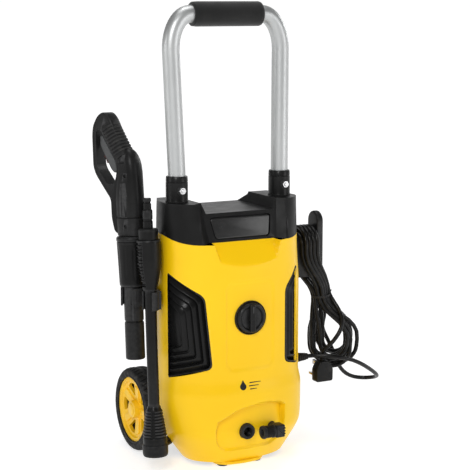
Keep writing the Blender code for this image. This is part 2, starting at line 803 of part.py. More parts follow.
def axle():
    reach = WHEEL_OUTER_X - 1.2
    obj = add_object("axle", cylinder_mesh("axle", AXLE_RADIUS, -reach, reach, 20), STEEL, 0.35, 1.0,
                     (0, WHEEL_Y, WHEEL_RADIUS), (0, math.pi / 2, 0))
    return obj


# ---- switch and water connections -----------------------------------------------------------
FACE_TURN = (math.pi / 2, 0, 0)


def front_hole(shell, name, x, z, radius):
    cut(shell, add_tool(name, cylinder_mesh(name, radius, 60, 130, 28), (x, 0, z), FACE_TURN))


def switch(shell):
    """Rotary on-off switch: a bezel in the shell, a knob with a grip bar, and the switch behind."""
    front_hole(shell, "switch_hole", 0, KNOB_Z, 27.6)
    face = -front_edge_y(0, plan_growth(KNOB_Z))
    bezel = [(25.8, face + 1.2), (27.0, face + 1.2), (27.2, face + 0.6), (27.2, face - 7), (8.0, face - 7),
             (8.0, face - 4.5), (25.8, face - 4.5)]
    turned("switch_bezel", bezel, BLACK, 0.4, 0.0, (0, 0, KNOB_Z), FACE_TURN, 28, ring=True)
    disc = [(0, face + 5.5), (18.5, face + 5.5), (22.5, face + 5.0), (24.4, face + 3.2),
            (KNOB_RADIUS, face + 1.5), (KNOB_RADIUS, face - 4.0), (0, face - 4.0)]
    knob = turned("switch_knob", disc, BLACK, 0.38, 0.0, (0, 0, KNOB_Z), FACE_TURN, 28)
    bar_outline = [(-3.6, -20.5), (3.6, -20.5), (5.0, -18.0), (5.0, 18.0), (3.6, 20.5), (-3.6, 20.5),
                   (-5.0, 18.0), (-5.0, -18.0)]
    bar = add_tool("knob_bar", extruded_mesh("knob_bar", bar_outline, face + 2, face + 10.2), (0, 0, KNOB_Z),
                   FACE_TURN)
    shaft = add_tool("knob_shaft", cylinder_mesh("knob_shaft", 4.0, face - 13, face - 3, 16), (0, 0, KNOB_Z),
                     FACE_TURN)
    join(knob, bar, shaft)
    body = add_object("switch_body", box_mesh("switch_body", (-22, -face + 14, -22), (22, -face + 42, 22)),
                      (0.05, 0.05, 0.06), 0.5, at=(0, 0, KNOB_Z))
    bevel(body, 2.0)


def outlet(shell):
    """High-pressure outlet: a threaded socket set in the pocket, with the pipe from the pump head."""
    front_hole(shell, "outlet_hole", OUTLET_X, PORT_Z, 12.8)
    face = 103.5
    profile = [(7.2, face + 3.2), (11.5, face + 3.2), (12.4, face + 2.4), (12.4, face - 22), (7.2, face - 22)]
    turned("outlet_port", profile, BLACK, 0.4, 0.0, (OUTLET_X, 0, PORT_Z), FACE_TURN, 24, ring=True)
    knots = [(OUTLET_X, -79.0, PORT_Z), (OUTLET_X, -66.0, PORT_Z - 2), (-2, -52, 50), (0, -36, 45)]
    route = smooth_path(knots, 5)
    add_object("outlet_pipe", wire_mesh("outlet_pipe", route, 4.0, 10), STEEL, 0.3, 1.0)


def inlet(shell):
    """Water inlet: a spigot through the shell that carries a swivelling elbow and a hose collar."""
    front_hole(shell, "inlet_hole", INLET_X, PORT_Z, 8.4)
    profile = [(3.6, 104.5), (8.0, 104.5), (8.0, 72.0), (3.6, 72.0)]
    turned("inlet_spigot", profile, BLACK, 0.4, 0.0, (INLET_X, 0, PORT_Z), FACE_TURN, 24, ring=True)
    outline = [(-9.0, -12.4), (6.5, -12.4), (8.5, -10.4), (8.5, 10.4), (6.5, 12.4), (-9.0, 12.4)]
    elbow = add_object("inlet_elbow", extruded_mesh("inlet_elbow", outline, 104.8, 126.0), BLACK, 0.35,
                       at=(INLET_X, 0, PORT_Z), turn=FACE_TURN)
    bevel(elbow, 1.5)
    collar = [(5.2, 22.0), (9.5, 22.0), (11.2, 20.5), (11.2, 17.0), (10.2, 16.0), (10.2, 3.5), (11.2, 2.5),
              (11.2, 0.3), (5.2, 0.3)]
    at = (INLET_X - 9.0, INLET_AXIS_Y, PORT_Z)
    turned("inlet_collar", collar, BLACK, 0.45, 0.0, at, (0, -math.pi / 2, 0), 20, ring=True)
    knots = [(INLET_X, -71.6, PORT_Z), (INLET_X, -55, PORT_Z), (40, -34, 50), (33, -22, 45)]
    route = smooth_path(knots, 5)
    add_object("inlet_hose", wire_mesh("inlet_hose", route, 5.5, 10), RUBBER, 0.6)


# ---- base -----------------------------------------------------------------------------------
BASE_REAR = [(70.5, 6.2), (70.0, 25.0), (68.0, 50.0), (58.0, 75.0), (30.0, 82.0)]


def base():
    ring = front_ring(SHELL_BOTTOM, PLAN_COLUMNS, -3.4, carve=False)
    outline = [(x, y) for x, y, _ in ring] + BASE_REAR + [(-x, y) for x, y in reversed(BASE_REAR)]
    obj = add_object("base_plate", extruded_mesh("base_plate", outline, 8.0, 12.0), BLACK, 0.55)
    vent = add_tool("drain_slot", box_mesh("drain_slot", (-30, 30, 0), (30, 34, 20)))
    cut(obj, vent)
    foot_outline = [(-44, -64), (-30, -77), (0, -81), (30, -77), (44, -64), (44, -50), (-44, -50)]
    foot = add_object("front_foot", extruded_mesh("front_foot", foot_outline, 3.3, 7.7), YELLOW, 0.4)
    bevel(foot, 0.8, 1)
    for label, sign in (("left", -1), ("right", 1)):
        add_object("foot_pad_" + label, cylinder_mesh("foot_pad", 9, 0.0, 3.0, 24, 10), RUBBER, 0.8, 0.0,
                   (sign * 30, -62, 0))


# ---- accessories on the left ----------------------------------------------------------------
def tilt_frame(name, at):
    frame = bpy.data.objects.new(name, None)
    PARTS.objects.link(frame)
    frame.parent = BODY
    frame.location = [value * MM for value in at]
    frame.rotation_euler = (-TILT, 0, 0)
    return frame


def axis_y(at, z):
    return at[1] + (z - at[2]) * math.tan(TILT)


def accessory_clip(skin):
    """Two open clips on one arm: the gun's shoulder rests on the first, the lance snaps in the second."""
    low, high, middle = 262.0, 291.5, 277.0
    gun_y, lance_y = axis_y(GUN_AT, middle), axis_y(LANCE_AT, middle)
    arm_outline = [(-86.0, 10.0), (-86.0, 26.0), (-112.0, 24.0), (-128.0, 21.0), (-132.5, 15.0),
                   (-131.5, 2.0), (-129.5, lance_y + 8), (-129.5, lance_y - 5), (-125.5, lance_y - 5),
                   (-124.5, -8.0), (-124.0, 6.0), (-112.0, 9.5)]
    arm = add_object("accessory_clip", extruded_mesh("accessory_clip", arm_outline, low, high), BLACK, 0.5)
    clips = (("gun", GUN_AT[0], gun_y, 17.4, 3.0, [(0, 0), (-62, 12), (-70, -30), (-40, -62)]),
             ("lance", LANCE_AT[0], lance_y, 10.8, 2.6, [(0, 0), (-44, 14), (-50, -36), (-12, -44)]))
    for label, x, y, bore, wall, mouth in clips:
        ring = add_tool(label + "_clip", cylinder_mesh("clip", bore + wall, low, high, 28), (x, y, 0))
        hole = add_tool(label + "_bore", cylinder_mesh("bore", bore, low - 5, high + 5, 28), (x, y, 0))
        gap = add_tool(label + "_mouth", extruded_mesh("mouth", mouth, low - 5, high + 5), (x, y, 0))
        join(arm, ring)
        cut(arm, hole, gap)
    cut(arm, skin)


def lance_cup(skin, frame):
    profile = [(0, -206.0), (18.7, -206.0), (18.7, -180.0), (20.7, -180.0), (20.7, -208.5), (0, -208.5)]
    cup = turned("lance_cup", profile, BLACK, 0.5, 0.0, steps=24, parent=frame)
    arm = add_tool("cup_arm", box_mesh("cup_arm", (-123.0, -54.0, 23.0), (-90.0, -40.0, 36.0)))
    join(cup, arm)
    cut(cup, skin)


def lance():
    frame = tilt_frame("lance_frame", LANCE_AT)
    grip = [(0, 209.0), (5.2, 209.0), (6.2, 207.5), (6.2, 190.0), (7.8, 189.0), (7.8, 161.0), (13.0, 161.0),
            (15.6, 159.0), (15.6, 144.5), (18.6, 143.0), (19.4, 140.0), (19.4, 112.0), (18.6, 100.0),
            (15.5, 84.0), (11.8, 66.0), (10.6, 63.0), (9.4, 63.0), (9.4, 90.5), (0, 90.5)]
    handle_piece = turned("lance_grip", grip, BLACK, 0.5, 0.0, steps=20, parent=frame)
    lugs = box_mesh("bayonet_lugs", (-8.6, -2.2, 178), (8.6, 2.2, 184))
    join(handle_piece, add_tool("bayonet_lugs", lugs, parent=frame))
    tube = [(6.4, 90.0), (9.0, 90.0), (9.0, -140.0), (6.4, -140.0)]
    turned("lance_tube", tube, BLACK, 0.35, 0.0, steps=18, ring=True, parent=frame)
    nozzle = [(0, -141.0), (9.5, -141.0), (9.5, -121.0), (11.8, -121.0), (12.8, -124.0), (15.5, -127.0)]
    for step in range(4):
        top = -129.0 - 12.0 * step
        reach = 16.4 + 1.0 * step
        nozzle += [(reach + 0.6, top - 7.0), (reach - 1.4, top - 9.5)]
    nozzle += [(18.2, -178.5), (18.0, -204.0), (16.5, -205.3), (8.5, -205.3), (8.5, -199.0), (0, -199.0)]
    turned("lance_nozzle", nozzle, BLACK, 0.6, 0.0, steps=20, parent=frame)
    return frame


def gun():
    """Trigger gun hanging barrel down: D-shaped handle, trigger with lock, sleeve and barrel socket."""
    frame = tilt_frame("gun_frame", GUN_AT)
    spin = (0, 0, GUN_SPIN)
    outline = [(22.0, 99.6), (23.0, 150.0), (20.5, 200.0), (14.0, 234.0), (7.0, 243.5), (-2.0, 246.0),
               (-7.0, 250.0), (-14.0, 262.5), (-25.5, 287.0), (-34.0, 295.5), (-43.0, 296.0), (-52.0, 290.0),
               (-60.5, 276.0), (-63.0, 262.0), (-63.0, 210.0), (-58.5, 197.0), (-38.0, 168.0), (-27.0, 156.0),
               (-23.5, 130.0), (-22.0, 99.6)]
    loop = [(-33.0, 180.0), (-24.0, 181.0), (-18.0, 190.0), (-15.0, 206.0), (-18.0, 221.0), (-44.0, 267.0),
            (-48.0, 270.0), (-52.0, 268.0), (-54.0, 262.0), (-54.0, 213.0), (-51.0, 205.0)]
    plate = plate_xz("gun_body", outline, 17.0)
    body = add_object("gun_body", plate, BLACK, 0.5, turn=spin, parent=frame)
    hole = add_tool("gun_loop", plate_xz("gun_loop", loop, 30.0), turn=spin, parent=frame)
    cut(body, hole)
    bevel(body, 3.2, 2, 50)
    pocket = [(-36.0, 236.0), (-22.0, 236.0), (-34.0, 268.5), (-43.0, 268.5)]
    cut(body, add_tool("trigger_pocket", plate_xz("trigger_pocket", pocket, 8.6), turn=spin, parent=frame))
    edge = [Vector((-8.6, 253.0)), Vector((-14.0, 262.5)), Vector((-24.6, 285.0))]
    outward = Vector((0.894, 0.447))
    pad_outline = [p + outward * 0.5 for p in edge] + [p + outward * 3.4 for p in reversed(edge)]
    pad_outline = [(p.x, p.y) for p in reversed(pad_outline)]
    plate = plate_xz("gun_grip_pad", pad_outline, 11.0)
    pad = add_object("gun_grip_pad", plate, RUBBER, 0.8, turn=spin, parent=frame)
    bevel(pad, 0.8, 1)
    pivot = gun_pivot("trigger_pivot", frame, TRIGGER_PIVOT)
    lever = [(-17.0, 203.0), (-19.4, 215.0), (-45.5, 259.5), (-50.0, 258.5), (-50.5, 244.0), (-41.0, 226.0),
             (-30.0, 205.0), (-23.5, 199.0)]
    lever = [(x - TRIGGER_PIVOT[0], h - TRIGGER_PIVOT[1]) for x, h in lever]
    trigger = add_object("gun_trigger", plate_xz("gun_trigger", lever, 7.5), BLACK, 0.55, parent=pivot)
    bevel(trigger, 1.2, 1)
    slot = [(x - TRIGGER_PIVOT[0], h - TRIGGER_PIVOT[1]) for x, h in
            ((-33.0, 208.0), (-36.5, 228.5), (-50.0, 232.0), (-42.0, 204.0))]
    notch = add_tool("lock_notch", plate_xz("lock_notch", slot, 3.6), parent=pivot)
    cut(trigger, notch)
    lock_pivot = gun_pivot("lock_pivot", frame, LOCK_PIVOT)
    tab = [(-2.0, 1.2), (-2.4, -1.2), (0.6, -2.4), (3.2, -11.0), (5.6, -11.4), (4.4, -1.0)]
    lock = add_object("trigger_lock", plate_xz("trigger_lock", tab, 3.2), (0.35, 0.04, 0.03), 0.5,
                      parent=lock_pivot)
    bevel(lock, 0.3, 1)
    sleeve = [(12.5, 99.2), (22.5, 99.2), (24.3, 97.0), (24.3, 92.0), (21.2, 20.8), (20.2, 19.4),
              (12.5, 19.4)]
    turned("gun_sleeve", sleeve, BLACK, 0.5, 0.0, steps=24, ring=True, parent=frame)
    barrel = [(0, 98.9), (12.0, 98.9), (12.0, 19.1), (15.5, 19.1), (15.5, -36.0), (15.0, -37.0),
              (15.0, -39.0), (15.6, -40.0), (15.6, -97.5), (14.4, -99.0), (10.4, -99.0), (10.4, -48.0),
              (0, -48.0)]
    tube = turned("gun_barrel", barrel, BLACK, 0.5, 0.0, steps=20, parent=frame)
    cut(tube, add_tool("latch_hole", cylinder_mesh("latch_hole", 2.6, 10.5, 30, 16), (0, 0, -9),
                       (math.pi / 2, 0, math.radians(-30)), parent=frame))
    return frame


def gun_pivot(name, frame, at):
    pivot = bpy.data.objects.new(name, None)
    PARTS.objects.link(pivot)
    pivot.parent = frame
    offset = Matrix.Rotation(GUN_SPIN, 3, "Z") @ Vector((at[0], 0.0, at[1]))
    pivot.location = offset * MM
    pivot.rotation_euler = (0, 0, GUN_SPIN)
    return pivot


# ---- mains lead on the right ----------------------------------------------------------------
def hook_outline(low, high, half, arc=10):
    centre = high - half
    outline = [(HOOK_Y - half, low), (HOOK_Y + half, low)]
    for i in range(arc + 1):
        angle = math.pi * i / arc
        outline.append((HOOK_Y + half * math.cos(angle), centre + half * math.sin(angle)))
    return outline


def cord_hook(skin):
    """Arm with a rounded top that the wound lead hangs on, ending in an upright tongue."""
    bar = plate_yz("cord_hook", hook_outline(HOOK_BOTTOM, HOOK_TOP, HOOK_HALF), 84.0, HOOK_END - 6)
    arm = add_object("cord_hook", bar, BLACK, 0.45)
    tongue = plate_yz("hook_tongue", hook_outline(300.0, PADDLE_TOP, HOOK_HALF), HOOK_END - 12, HOOK_END)
    join(arm, add_tool("hook_tongue", tongue))
    hollow = box_mesh("hook_hollow", (120, HOOK_Y - 13, 270), (HOOK_END - 16, HOOK_Y + 13, 336))
    cut(arm, add_tool("hook_hollow", hollow), skin)
    return arm


def strain_relief(skin):
    x, y, z = GLAND
    profile = [(0, GLAND_END_X), (5.4, GLAND_END_X), (6.2, GLAND_END_X - 4), (7.4, 133.0), (8.2, 131.5),
               (8.6, 124.0), (11.0, 123.0), (11.0, 108.0), (0, 108.0)]
    obj = turned("strain_relief", profile, RUBBER, 0.6, 0.0, (0, y, z), (0, math.pi / 2, 0), 18)
    cut(obj, skin)


FREE_ROUTE = [(152.6, -22.0, 151.0), (157.0, -22.4, 151.0), (169.0, -29.5, 151.6), (184.0, -41.0, 151.0),
              (205.0, -47.0, 147.5), (228.0, -46.0, 140.5), (256.0, -37.0, 126.5), (284.0, -22.5, 109.0),
              (304.0, -4.0, 95.5),
              (308.0, 13.5, 87.0), (297.0, 28.0, 84.0), (276.0, 34.0, 90.0), (255.0, 30.0, 103.0),
              (241.0, 21.0, 119.0), (233.6, 13.0, 133.5)]

HANK_LEVELS = [(376, 161, 8, 7, 14), (371, 161, 8, 12, 24), (362, 161, 8, 14.5, 30), (345, 161, 8, 15.5, 33),
               (318, 163, 8, 15.5, 32), (290, 171, 5, 16, 26), (268, 182, 2, 16, 19), (248, 191, 0, 16, 16),
               (230, 197, -2, 20, 20), (205, 203, -3, 27, 28), (180, 206, -3, 29, 30), (165, 208, -3, 26, 26),
               (152, 212, -3, 19, 19), (143, 215, -3, 11, 11), (139, 216, -3, 5, 5)]


def hank():
    """The wound lead as one closed solid: a loop over the hook, tied at its waist."""
    rows = []
    for z, x, y, half_x, half_y in reversed(HANK_LEVELS):
        rows.append([(x + half_x * math.cos(a), y + half_y * math.sin(a), z)
                     for a in (2 * math.pi * i / 16 for i in range(16))])
    obj = add_object("cord_hank", grid_mesh("cord_hank", rows, wrap=True, caps=True), RUBBER, 0.5)
    clear = 0.5
    slot = plate_yz("hank_slot", hook_outline(HOOK_BOTTOM - 5, HOOK_TOP + clear, HOOK_HALF + clear), 90.0,
                    HOOK_END + clear)
    cut(obj, add_tool("hank_slot", slot))


def cord():
    add_object("cord_free", wire_mesh("cord_free", smooth_path(FREE_ROUTE, 2), CORD_RADIUS, 8), RUBBER, 0.45)
    x, y, z = PLUG_AT
    tail = [(x, y, z + 28.5), (x + 0.3, y + 0.3, z + 32), (x + 1.8, y + 1.6, z + 36),
            (x + 5.2, y + 3.8, z + 43)]
    add_object("cord_tail", wire_mesh("cord_tail", smooth_path(tail, 3), CORD_RADIUS, 8), RUBBER, 0.45)
    tie = [(18.0, 251.0), (19.4, 251.0), (19.4, 245.0), (18.0, 245.0)]
    turned("cord_tie", tie, RUBBER, 0.5, 0.0, (191, 0, 0), steps=28, ring=True)
    outline = [(-16, -18), (16, -18), (16, 8), (9, 18), (-9, 18), (-16, 8)]
    plug = add_object("mains_plug", plate_xz("mains_plug", outline, 9.0), RUBBER, 0.45, at=PLUG_AT)
    bevel(plug, 2.0, 2)
    join_after = [(0, 28.0), (4.8, 28.0), (6.8, 16.0), (0, 16.0)]
    relief_piece = add_tool("plug_relief", turned_mesh("plug_relief", join_after), PLUG_AT)
    add_screw(relief_piece, 16)
    join(plug, relief_piece)
    pins = (("earth", 0.0, 9.0, 2.0, 4.0, 22.0), ("line", 9.0, -8.0, 3.1, 2.0, 17.0),
            ("neutral", -9.0, -8.0, 3.1, 2.0, 17.0))
    for label, dx, dz, half_x, half_z, reach in pins:
        low = (dx - half_x, 8.0, dz - half_z)
        high = (dx + half_x, 9.0 + reach, dz + half_z)
        join(plug, add_tool("plug_pin_" + label, box_mesh("plug_pin", low, high), PLUG_AT))


# ---- motor and pump inside --------------------------------------------------------------------
def upright(name, profile, colour, roughness, metallic, steps=20, ring=False):
    return turned(name, profile, colour, roughness, metallic, (0, MOTOR_Y, 0), (0, 0, 0), steps, ring)


def motor_and_pump():
    add_object("pump_mount", box_mesh("pump_mount", (-34, -26, 12.3), (34, 26, 29.7)), RUBBER, 0.8)
    block = [(0, 58.0), (33, 58.0), (34, 57.0), (34, 31.0), (33, 30.0), (0, 30.0)]
    head = upright("pump_head", block, ALUMINIUM, 0.4, 1.0)
    pipe_hole = add_tool("head_outlet", cylinder_mesh("head_outlet", 4.5, 30, 60, 16), (0, 0, 45), FACE_TURN)
    hose_hole = add_tool("head_inlet", cylinder_mesh("head_inlet", 6.0, 20, 60, 16), (0, 0, 45),
                         (math.pi / 2, 0, math.radians(56.3)))
    cut(head, pipe_hole, hose_hole)
    housing = [(8.0, 128.0), (40.0, 128.0), (40.0, 118.0), (36.0, 118.0), (36.0, 58.3), (31.5, 58.3),
               (31.5, 118.0), (8.0, 118.0)]
    upright("pump_housing", housing, ALUMINIUM, 0.45, 1.0, ring=True)
    for index in range(3):
        angle = 2 * math.pi * index / 3 + math.pi / 6
        add_object("piston_%d" % (index + 1), cylinder_mesh("piston", 6.0, 58.4, 84.0, 16), STEEL, 0.25, 1.0,
                   (18 * math.cos(angle), MOTOR_Y + 18 * math.sin(angle), 0))
    swash = add_object("wobble_plate", cylinder_mesh("wobble_plate", 26.0, -4.0, 4.0, 28), STEEL, 0.3, 1.0,
                       (0, MOTOR_Y, 97.0), (math.radians(9), 0, 0))
    cut(swash, add_tool("wobble_bore", cylinder_mesh("wobble_bore", 5.4, 80, 115, 20), (0, MOTOR_Y, 0)))
    stator = [(28.6, 228.0), (46.0, 228.0), (46.0, 128.3), (28.6, 128.3)]
    upright("motor_stator", stator, COPPER, 0.5, 0.4, ring=True)
    rotor = [(0, 262.0), (5.0, 262.0), (5.0, 221.0), (27.6, 220.0), (27.6, 136.0), (5.0, 135.0), (5.0, 88.0),
             (0, 88.0)]
    upright("motor_rotor", rotor, STEEL, 0.35, 1.0)
    disc = [(5.3, 258.0), (10.0, 258.0), (10.0, 247.0), (38.0, 245.5), (38.0, 244.0), (5.3, 244.0)]
    fan = upright("cooling_fan", disc, BLACK, 0.5, 0.0, ring=True)
    for index in range(7):
        angle = 2 * math.pi * index / 7
        blade = add_tool("fan_blade_%d" % index, box_mesh("fan_blade", (9, -0.9, 245.0), (37.5, 0.9, 256.5)),
                         (0, MOTOR_Y, 0), (0, 0, angle))
        join(fan, blade)


# ---- build ------------------------------------------------------------------------------------
def build():
    shell = front_shell()
    for label in ("left", "right"):
        grille(label, shell)
    switch(shell)
    outlet(shell)
    inlet(shell)
    rear_shell()
    top_cover()
    plate = add_object("top_panel", panel_mesh("top_panel", 0.0, -1.3, 0.7), BLACK, 0.3)
    bevel(plate, 0.4, 1)
    handle()
    base()
    axle()
    wheel("left", -1)
    wheel("right", 1)
    skin = envelope("outer_skin", GAP, -5.0, 372.0)
    accessory_clip(skin)
    lance_frame = lance()
    lance_cup(skin, lance_frame)
    gun()
    cord_hook(skin)
    strain_relief(skin)
    hank()
    cord()
    motor_and_pump()


build()
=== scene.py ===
"""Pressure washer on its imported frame: fine surfaces, procedural materials, studio light and camera.

Shape numbers are in millimetres in the machine's own frame (x right, y back, z up) and become metres in
place(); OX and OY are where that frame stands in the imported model.
"""
import math

import bmesh
import bpy
from mathutils import Matrix, Vector


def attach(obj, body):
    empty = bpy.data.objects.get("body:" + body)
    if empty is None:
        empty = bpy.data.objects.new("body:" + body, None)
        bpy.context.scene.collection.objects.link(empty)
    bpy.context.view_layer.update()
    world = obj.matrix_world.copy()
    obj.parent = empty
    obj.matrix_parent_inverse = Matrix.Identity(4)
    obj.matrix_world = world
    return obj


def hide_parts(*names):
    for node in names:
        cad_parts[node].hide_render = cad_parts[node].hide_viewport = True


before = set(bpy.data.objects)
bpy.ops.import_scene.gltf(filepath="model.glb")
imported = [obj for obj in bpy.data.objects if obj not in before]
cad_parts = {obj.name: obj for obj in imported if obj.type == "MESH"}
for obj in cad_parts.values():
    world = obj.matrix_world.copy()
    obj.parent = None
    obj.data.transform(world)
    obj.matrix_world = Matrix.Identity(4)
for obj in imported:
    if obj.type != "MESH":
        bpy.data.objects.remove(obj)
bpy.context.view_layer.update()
FRAME_NODES = {item.name for item in bpy.data.objects if item.type == "MESH" and item.name != "Cube"}

MM = 0.001
OX, OY = 2.5, -12.2
TILT = math.radians(3.3)
GUN_AT = (-150, 14.5, 274)
GUN_SPIN = math.radians(-60)
LANCE_AT = (-142, -35.5, 230)
TAU = 2 * math.pi


def place(x, y, z):
    return Vector(((x + OX) * MM, (y + OY) * MM, z * MM))


# ---- materials -------------------------------------------------------------------------------
def node(tree, kind, at, **settings):
    item = tree.nodes.new(kind)
    item.location = at
    for key, value in settings.items():
        setattr(item, key, value)
    return item


def fill(item, **values):
    """Set a node's inputs; an underscore stands for a space in the input's name."""
    for name, value in values.items():
        item.inputs[name.replace("_", " ")].default_value = value


def maths(tree, operation, at, *sources):
    item = node(tree, "ShaderNodeMath", at, operation=operation)
    for source, socket in zip(sources, item.inputs):
        tree.links.new(source, socket)
    return item.outputs[0]


def noise(tree, coord, size_mm, detail, at, stretch=None):
    """Noise with features about size_mm across."""
    if stretch:
        mapping = node(tree, "ShaderNodeMapping", (at[0] - 200, at[1]))
        fill(mapping, Scale=stretch)
        tree.links.new(coord, mapping.inputs["Vector"])
        coord = mapping.outputs["Vector"]
    item = node(tree, "ShaderNodeTexNoise", at)
    fill(item, Scale=1000 / size_mm, Detail=detail)
    tree.links.new(coord, item.inputs["Vector"])
    return item.outputs["Fac"]


def remap(tree, value, low, high, out_low, out_high, at):
    item = node(tree, "ShaderNodeMapRange", at)
    fill(item, From_Min=low, From_Max=high, To_Min=out_low, To_Max=out_high)
    tree.links.new(value, item.inputs["Value"])
    return item.outputs["Result"]


def mix(tree, factor, first, second, at):
    """Blend two colours; each is a socket, an RGB tuple or one number for a grey."""
    item = node(tree, "ShaderNodeMix", at, data_type="RGBA")
    tree.links.new(factor, item.inputs[0])
    for socket, value in ((item.inputs[6], first), (item.inputs[7], second)):
        if isinstance(value, float):
            value = (value, value, value)
        if isinstance(value, tuple):
            socket.default_value = (*value, 1)
        else:
            tree.links.new(value, socket)
    return item.outputs[2]


def surface(name, dark, light, rough, spread, grain, grain_mm, depth_mm, metallic=0, wear=0,
            wear_colour=0.2, stretch=None, coat=0, sheen=0, tone_mm=60, dust=0, specular=0.5):
    """A moulded, painted or metal surface: broad tone, roughness patches, grain bump, worn edges and dust."""
    mat = bpy.data.materials.new(name)
    mat.use_nodes = True
    tree = mat.node_tree
    shader = tree.nodes["Principled BSDF"]
    coord = node(tree, "ShaderNodeTexCoord", (-1400, 0)).outputs["Object"]
    tone = noise(tree, coord, tone_mm, 3, (-1000, 300))
    colour = mix(tree, remap(tree, tone, 0.35, 0.65, 0, 1, (-800, 300)), dark, light, (-600, 300))
    if wear:
        shape = node(tree, "ShaderNodeNewGeometry", (-1000, 600)).outputs["Pointiness"]
        broken = noise(tree, coord, WEAR_MM, 4, (-1000, 500))
        edge = remap(tree, shape, 0.515, 0.56, 0, wear, (-800, 600))
        torn = maths(tree, "MULTIPLY", (-650, 600), edge, broken)
        colour = mix(tree, torn, colour, wear_colour, (-450, 450))
    if dust:
        cloud = remap(tree, noise(tree, coord, DUST_MM, 6, (-1000, 900)), 0.5, 0.85, 0, dust, (-800, 900))
        colour = mix(tree, cloud, colour, DUST_COLOUR, (-300, 500))
    tree.links.new(colour, shader.inputs["Base Color"])
    patches = noise(tree, coord, PATCH_MM, 4, (-1000, 0), stretch)
    tree.links.new(remap(tree, patches, 0.3, 0.7, rough - spread, rough + spread, (-700, 0)),
                   shader.inputs["Roughness"])
    height = noise(tree, coord, grain_mm, 2, (-1000, -300), stretch)
    if grain == "cells":
        cells = node(tree, "ShaderNodeTexVoronoi", (-1000, -500))
        fill(cells, Scale=1000 / grain_mm)
        tree.links.new(coord, cells.inputs["Vector"])
        height = cells.outputs["Distance"]
    bump = node(tree, "ShaderNodeBump", (-500, -300))
    fill(bump, Strength=1, Distance=depth_mm * MM)
    tree.links.new(height, bump.inputs["Height"])
    tree.links.new(bump.outputs["Normal"], shader.inputs["Normal"])
    fill(shader, Metallic=metallic, Coat_Weight=coat, Coat_Roughness=0.12, Sheen_Weight=sheen,
         Specular_IOR_Level=specular)
    return mat


WEAR_MM, DUST_MM, PATCH_MM = 5, 9, 14
DUST_COLOUR = (0.35, 0.33, 0.3)
DULL = 0.13
YELLOW = surface("yellow_shell", (0.93, 0.56, 0.003), (0.96, 0.6, 0.005), 0.36, 0.04, "noise", 0.9, 0.012,
                 wear=0.25, wear_colour=(1, 0.72, 0.15), tone_mm=140, coat=0.04, specular=0.25)
HUB_YELLOW = surface("yellow_wheel", (0.9, 0.52, 0.004), (0.94, 0.58, 0.006), 0.4, 0.06, "noise", 0.8, 0.02,
                     wear=0.3, wear_colour=(1, 0.75, 0.2), tone_mm=40)
BLACK = surface("black_textured", 0.006, 0.009, 0.4, 0.05, "cells", 0.55, 0.05,
                wear=0.5, wear_colour=(0.09, 0.09, 0.092), specular=DULL)
REAR_BLACK = surface("black_rear", 0.01, 0.015, 0.46, 0.05, "cells", 0.6, 0.05,
                     dust=0.05, specular=0.2)
GUN_BLACK = surface("black_moulded", 0.005, 0.008, 0.36, 0.05, "noise", 0.5, 0.03,
                    wear=0.6, wear_colour=(0.1, 0.1, 0.102), specular=0.15)
TRIM = surface("black_satin", 0.006, 0.009, 0.3, 0.05, "noise", 1.2, 0.008,
               wear=0.4, wear_colour=(0.08, 0.08, 0.082), coat=0.05, specular=DULL)
PANEL = surface("panel_grey", 0.012, 0.016, 0.24, 0.04, "noise", 1.4, 0.006,
                coat=0.1)
TRIGGER_GREY = surface("trigger_grey", (0.038, 0.04, 0.041), (0.052, 0.054, 0.055), 0.48, 0.05, "noise", 0.5,
                       0.03)
RUBBER = surface("soft_rubber", 0.009, 0.015, 0.58, 0.08, "noise", 0.7, 0.04,
                 wear=0.4, wear_colour=0.07, dust=0.1, specular=DULL)
FOAM = surface("foam_grip", 0.006, 0.01, 0.66, 0.08, "cells", 0.9, 0.1, sheen=0.25, specular=DULL)
TYRE = surface("tyre_rubber", 0.01, 0.016, 0.6, 0.08, "noise", 1, 0.06,
               wear=0.5, wear_colour=0.06, dust=0.22, specular=DULL)
SILVER = surface("handle_silver", (0.44, 0.45, 0.45), (0.48, 0.49, 0.49), 0.42, 0.015, "noise", 1.6, 0.001,
                 metallic=0.75, tone_mm=90)
STEEL = surface("plated_steel", (0.52, 0.52, 0.53), (0.66, 0.66, 0.67), 0.24, 0.08, "noise", 0.6, 0.01,
                metallic=1, wear=0.3, wear_colour=0.8, tone_mm=8)
CAST = surface("cast_aluminium", (0.42, 0.42, 0.43), (0.56, 0.56, 0.57), 0.5, 0.1, "cells", 1.2, 0.12,
               metallic=0.9, tone_mm=20)
IRON = surface("laminated_iron", (0.2, 0.16, 0.13), (0.32, 0.27, 0.23), 0.5, 0.1, "noise", 0.5, 0.05,
               metallic=0.7, stretch=(0.2, 0.2, 8), tone_mm=12)
JACKET = surface("cord_jacket", 0.006, 0.01, 0.3, 0.06, "noise", 1.5, 0.02,
                 dust=0.05, coat=0.08, specular=DULL)
RED = surface("lock_plastic", (0.06, 0.012, 0.01), (0.08, 0.016, 0.013), 0.42, 0.05, "noise", 0.5, 0.03)
DARK = surface("dark_interior", 0.004, 0.007, 0.75, 0.05, "noise", 1, 0.02, specular=DULL)


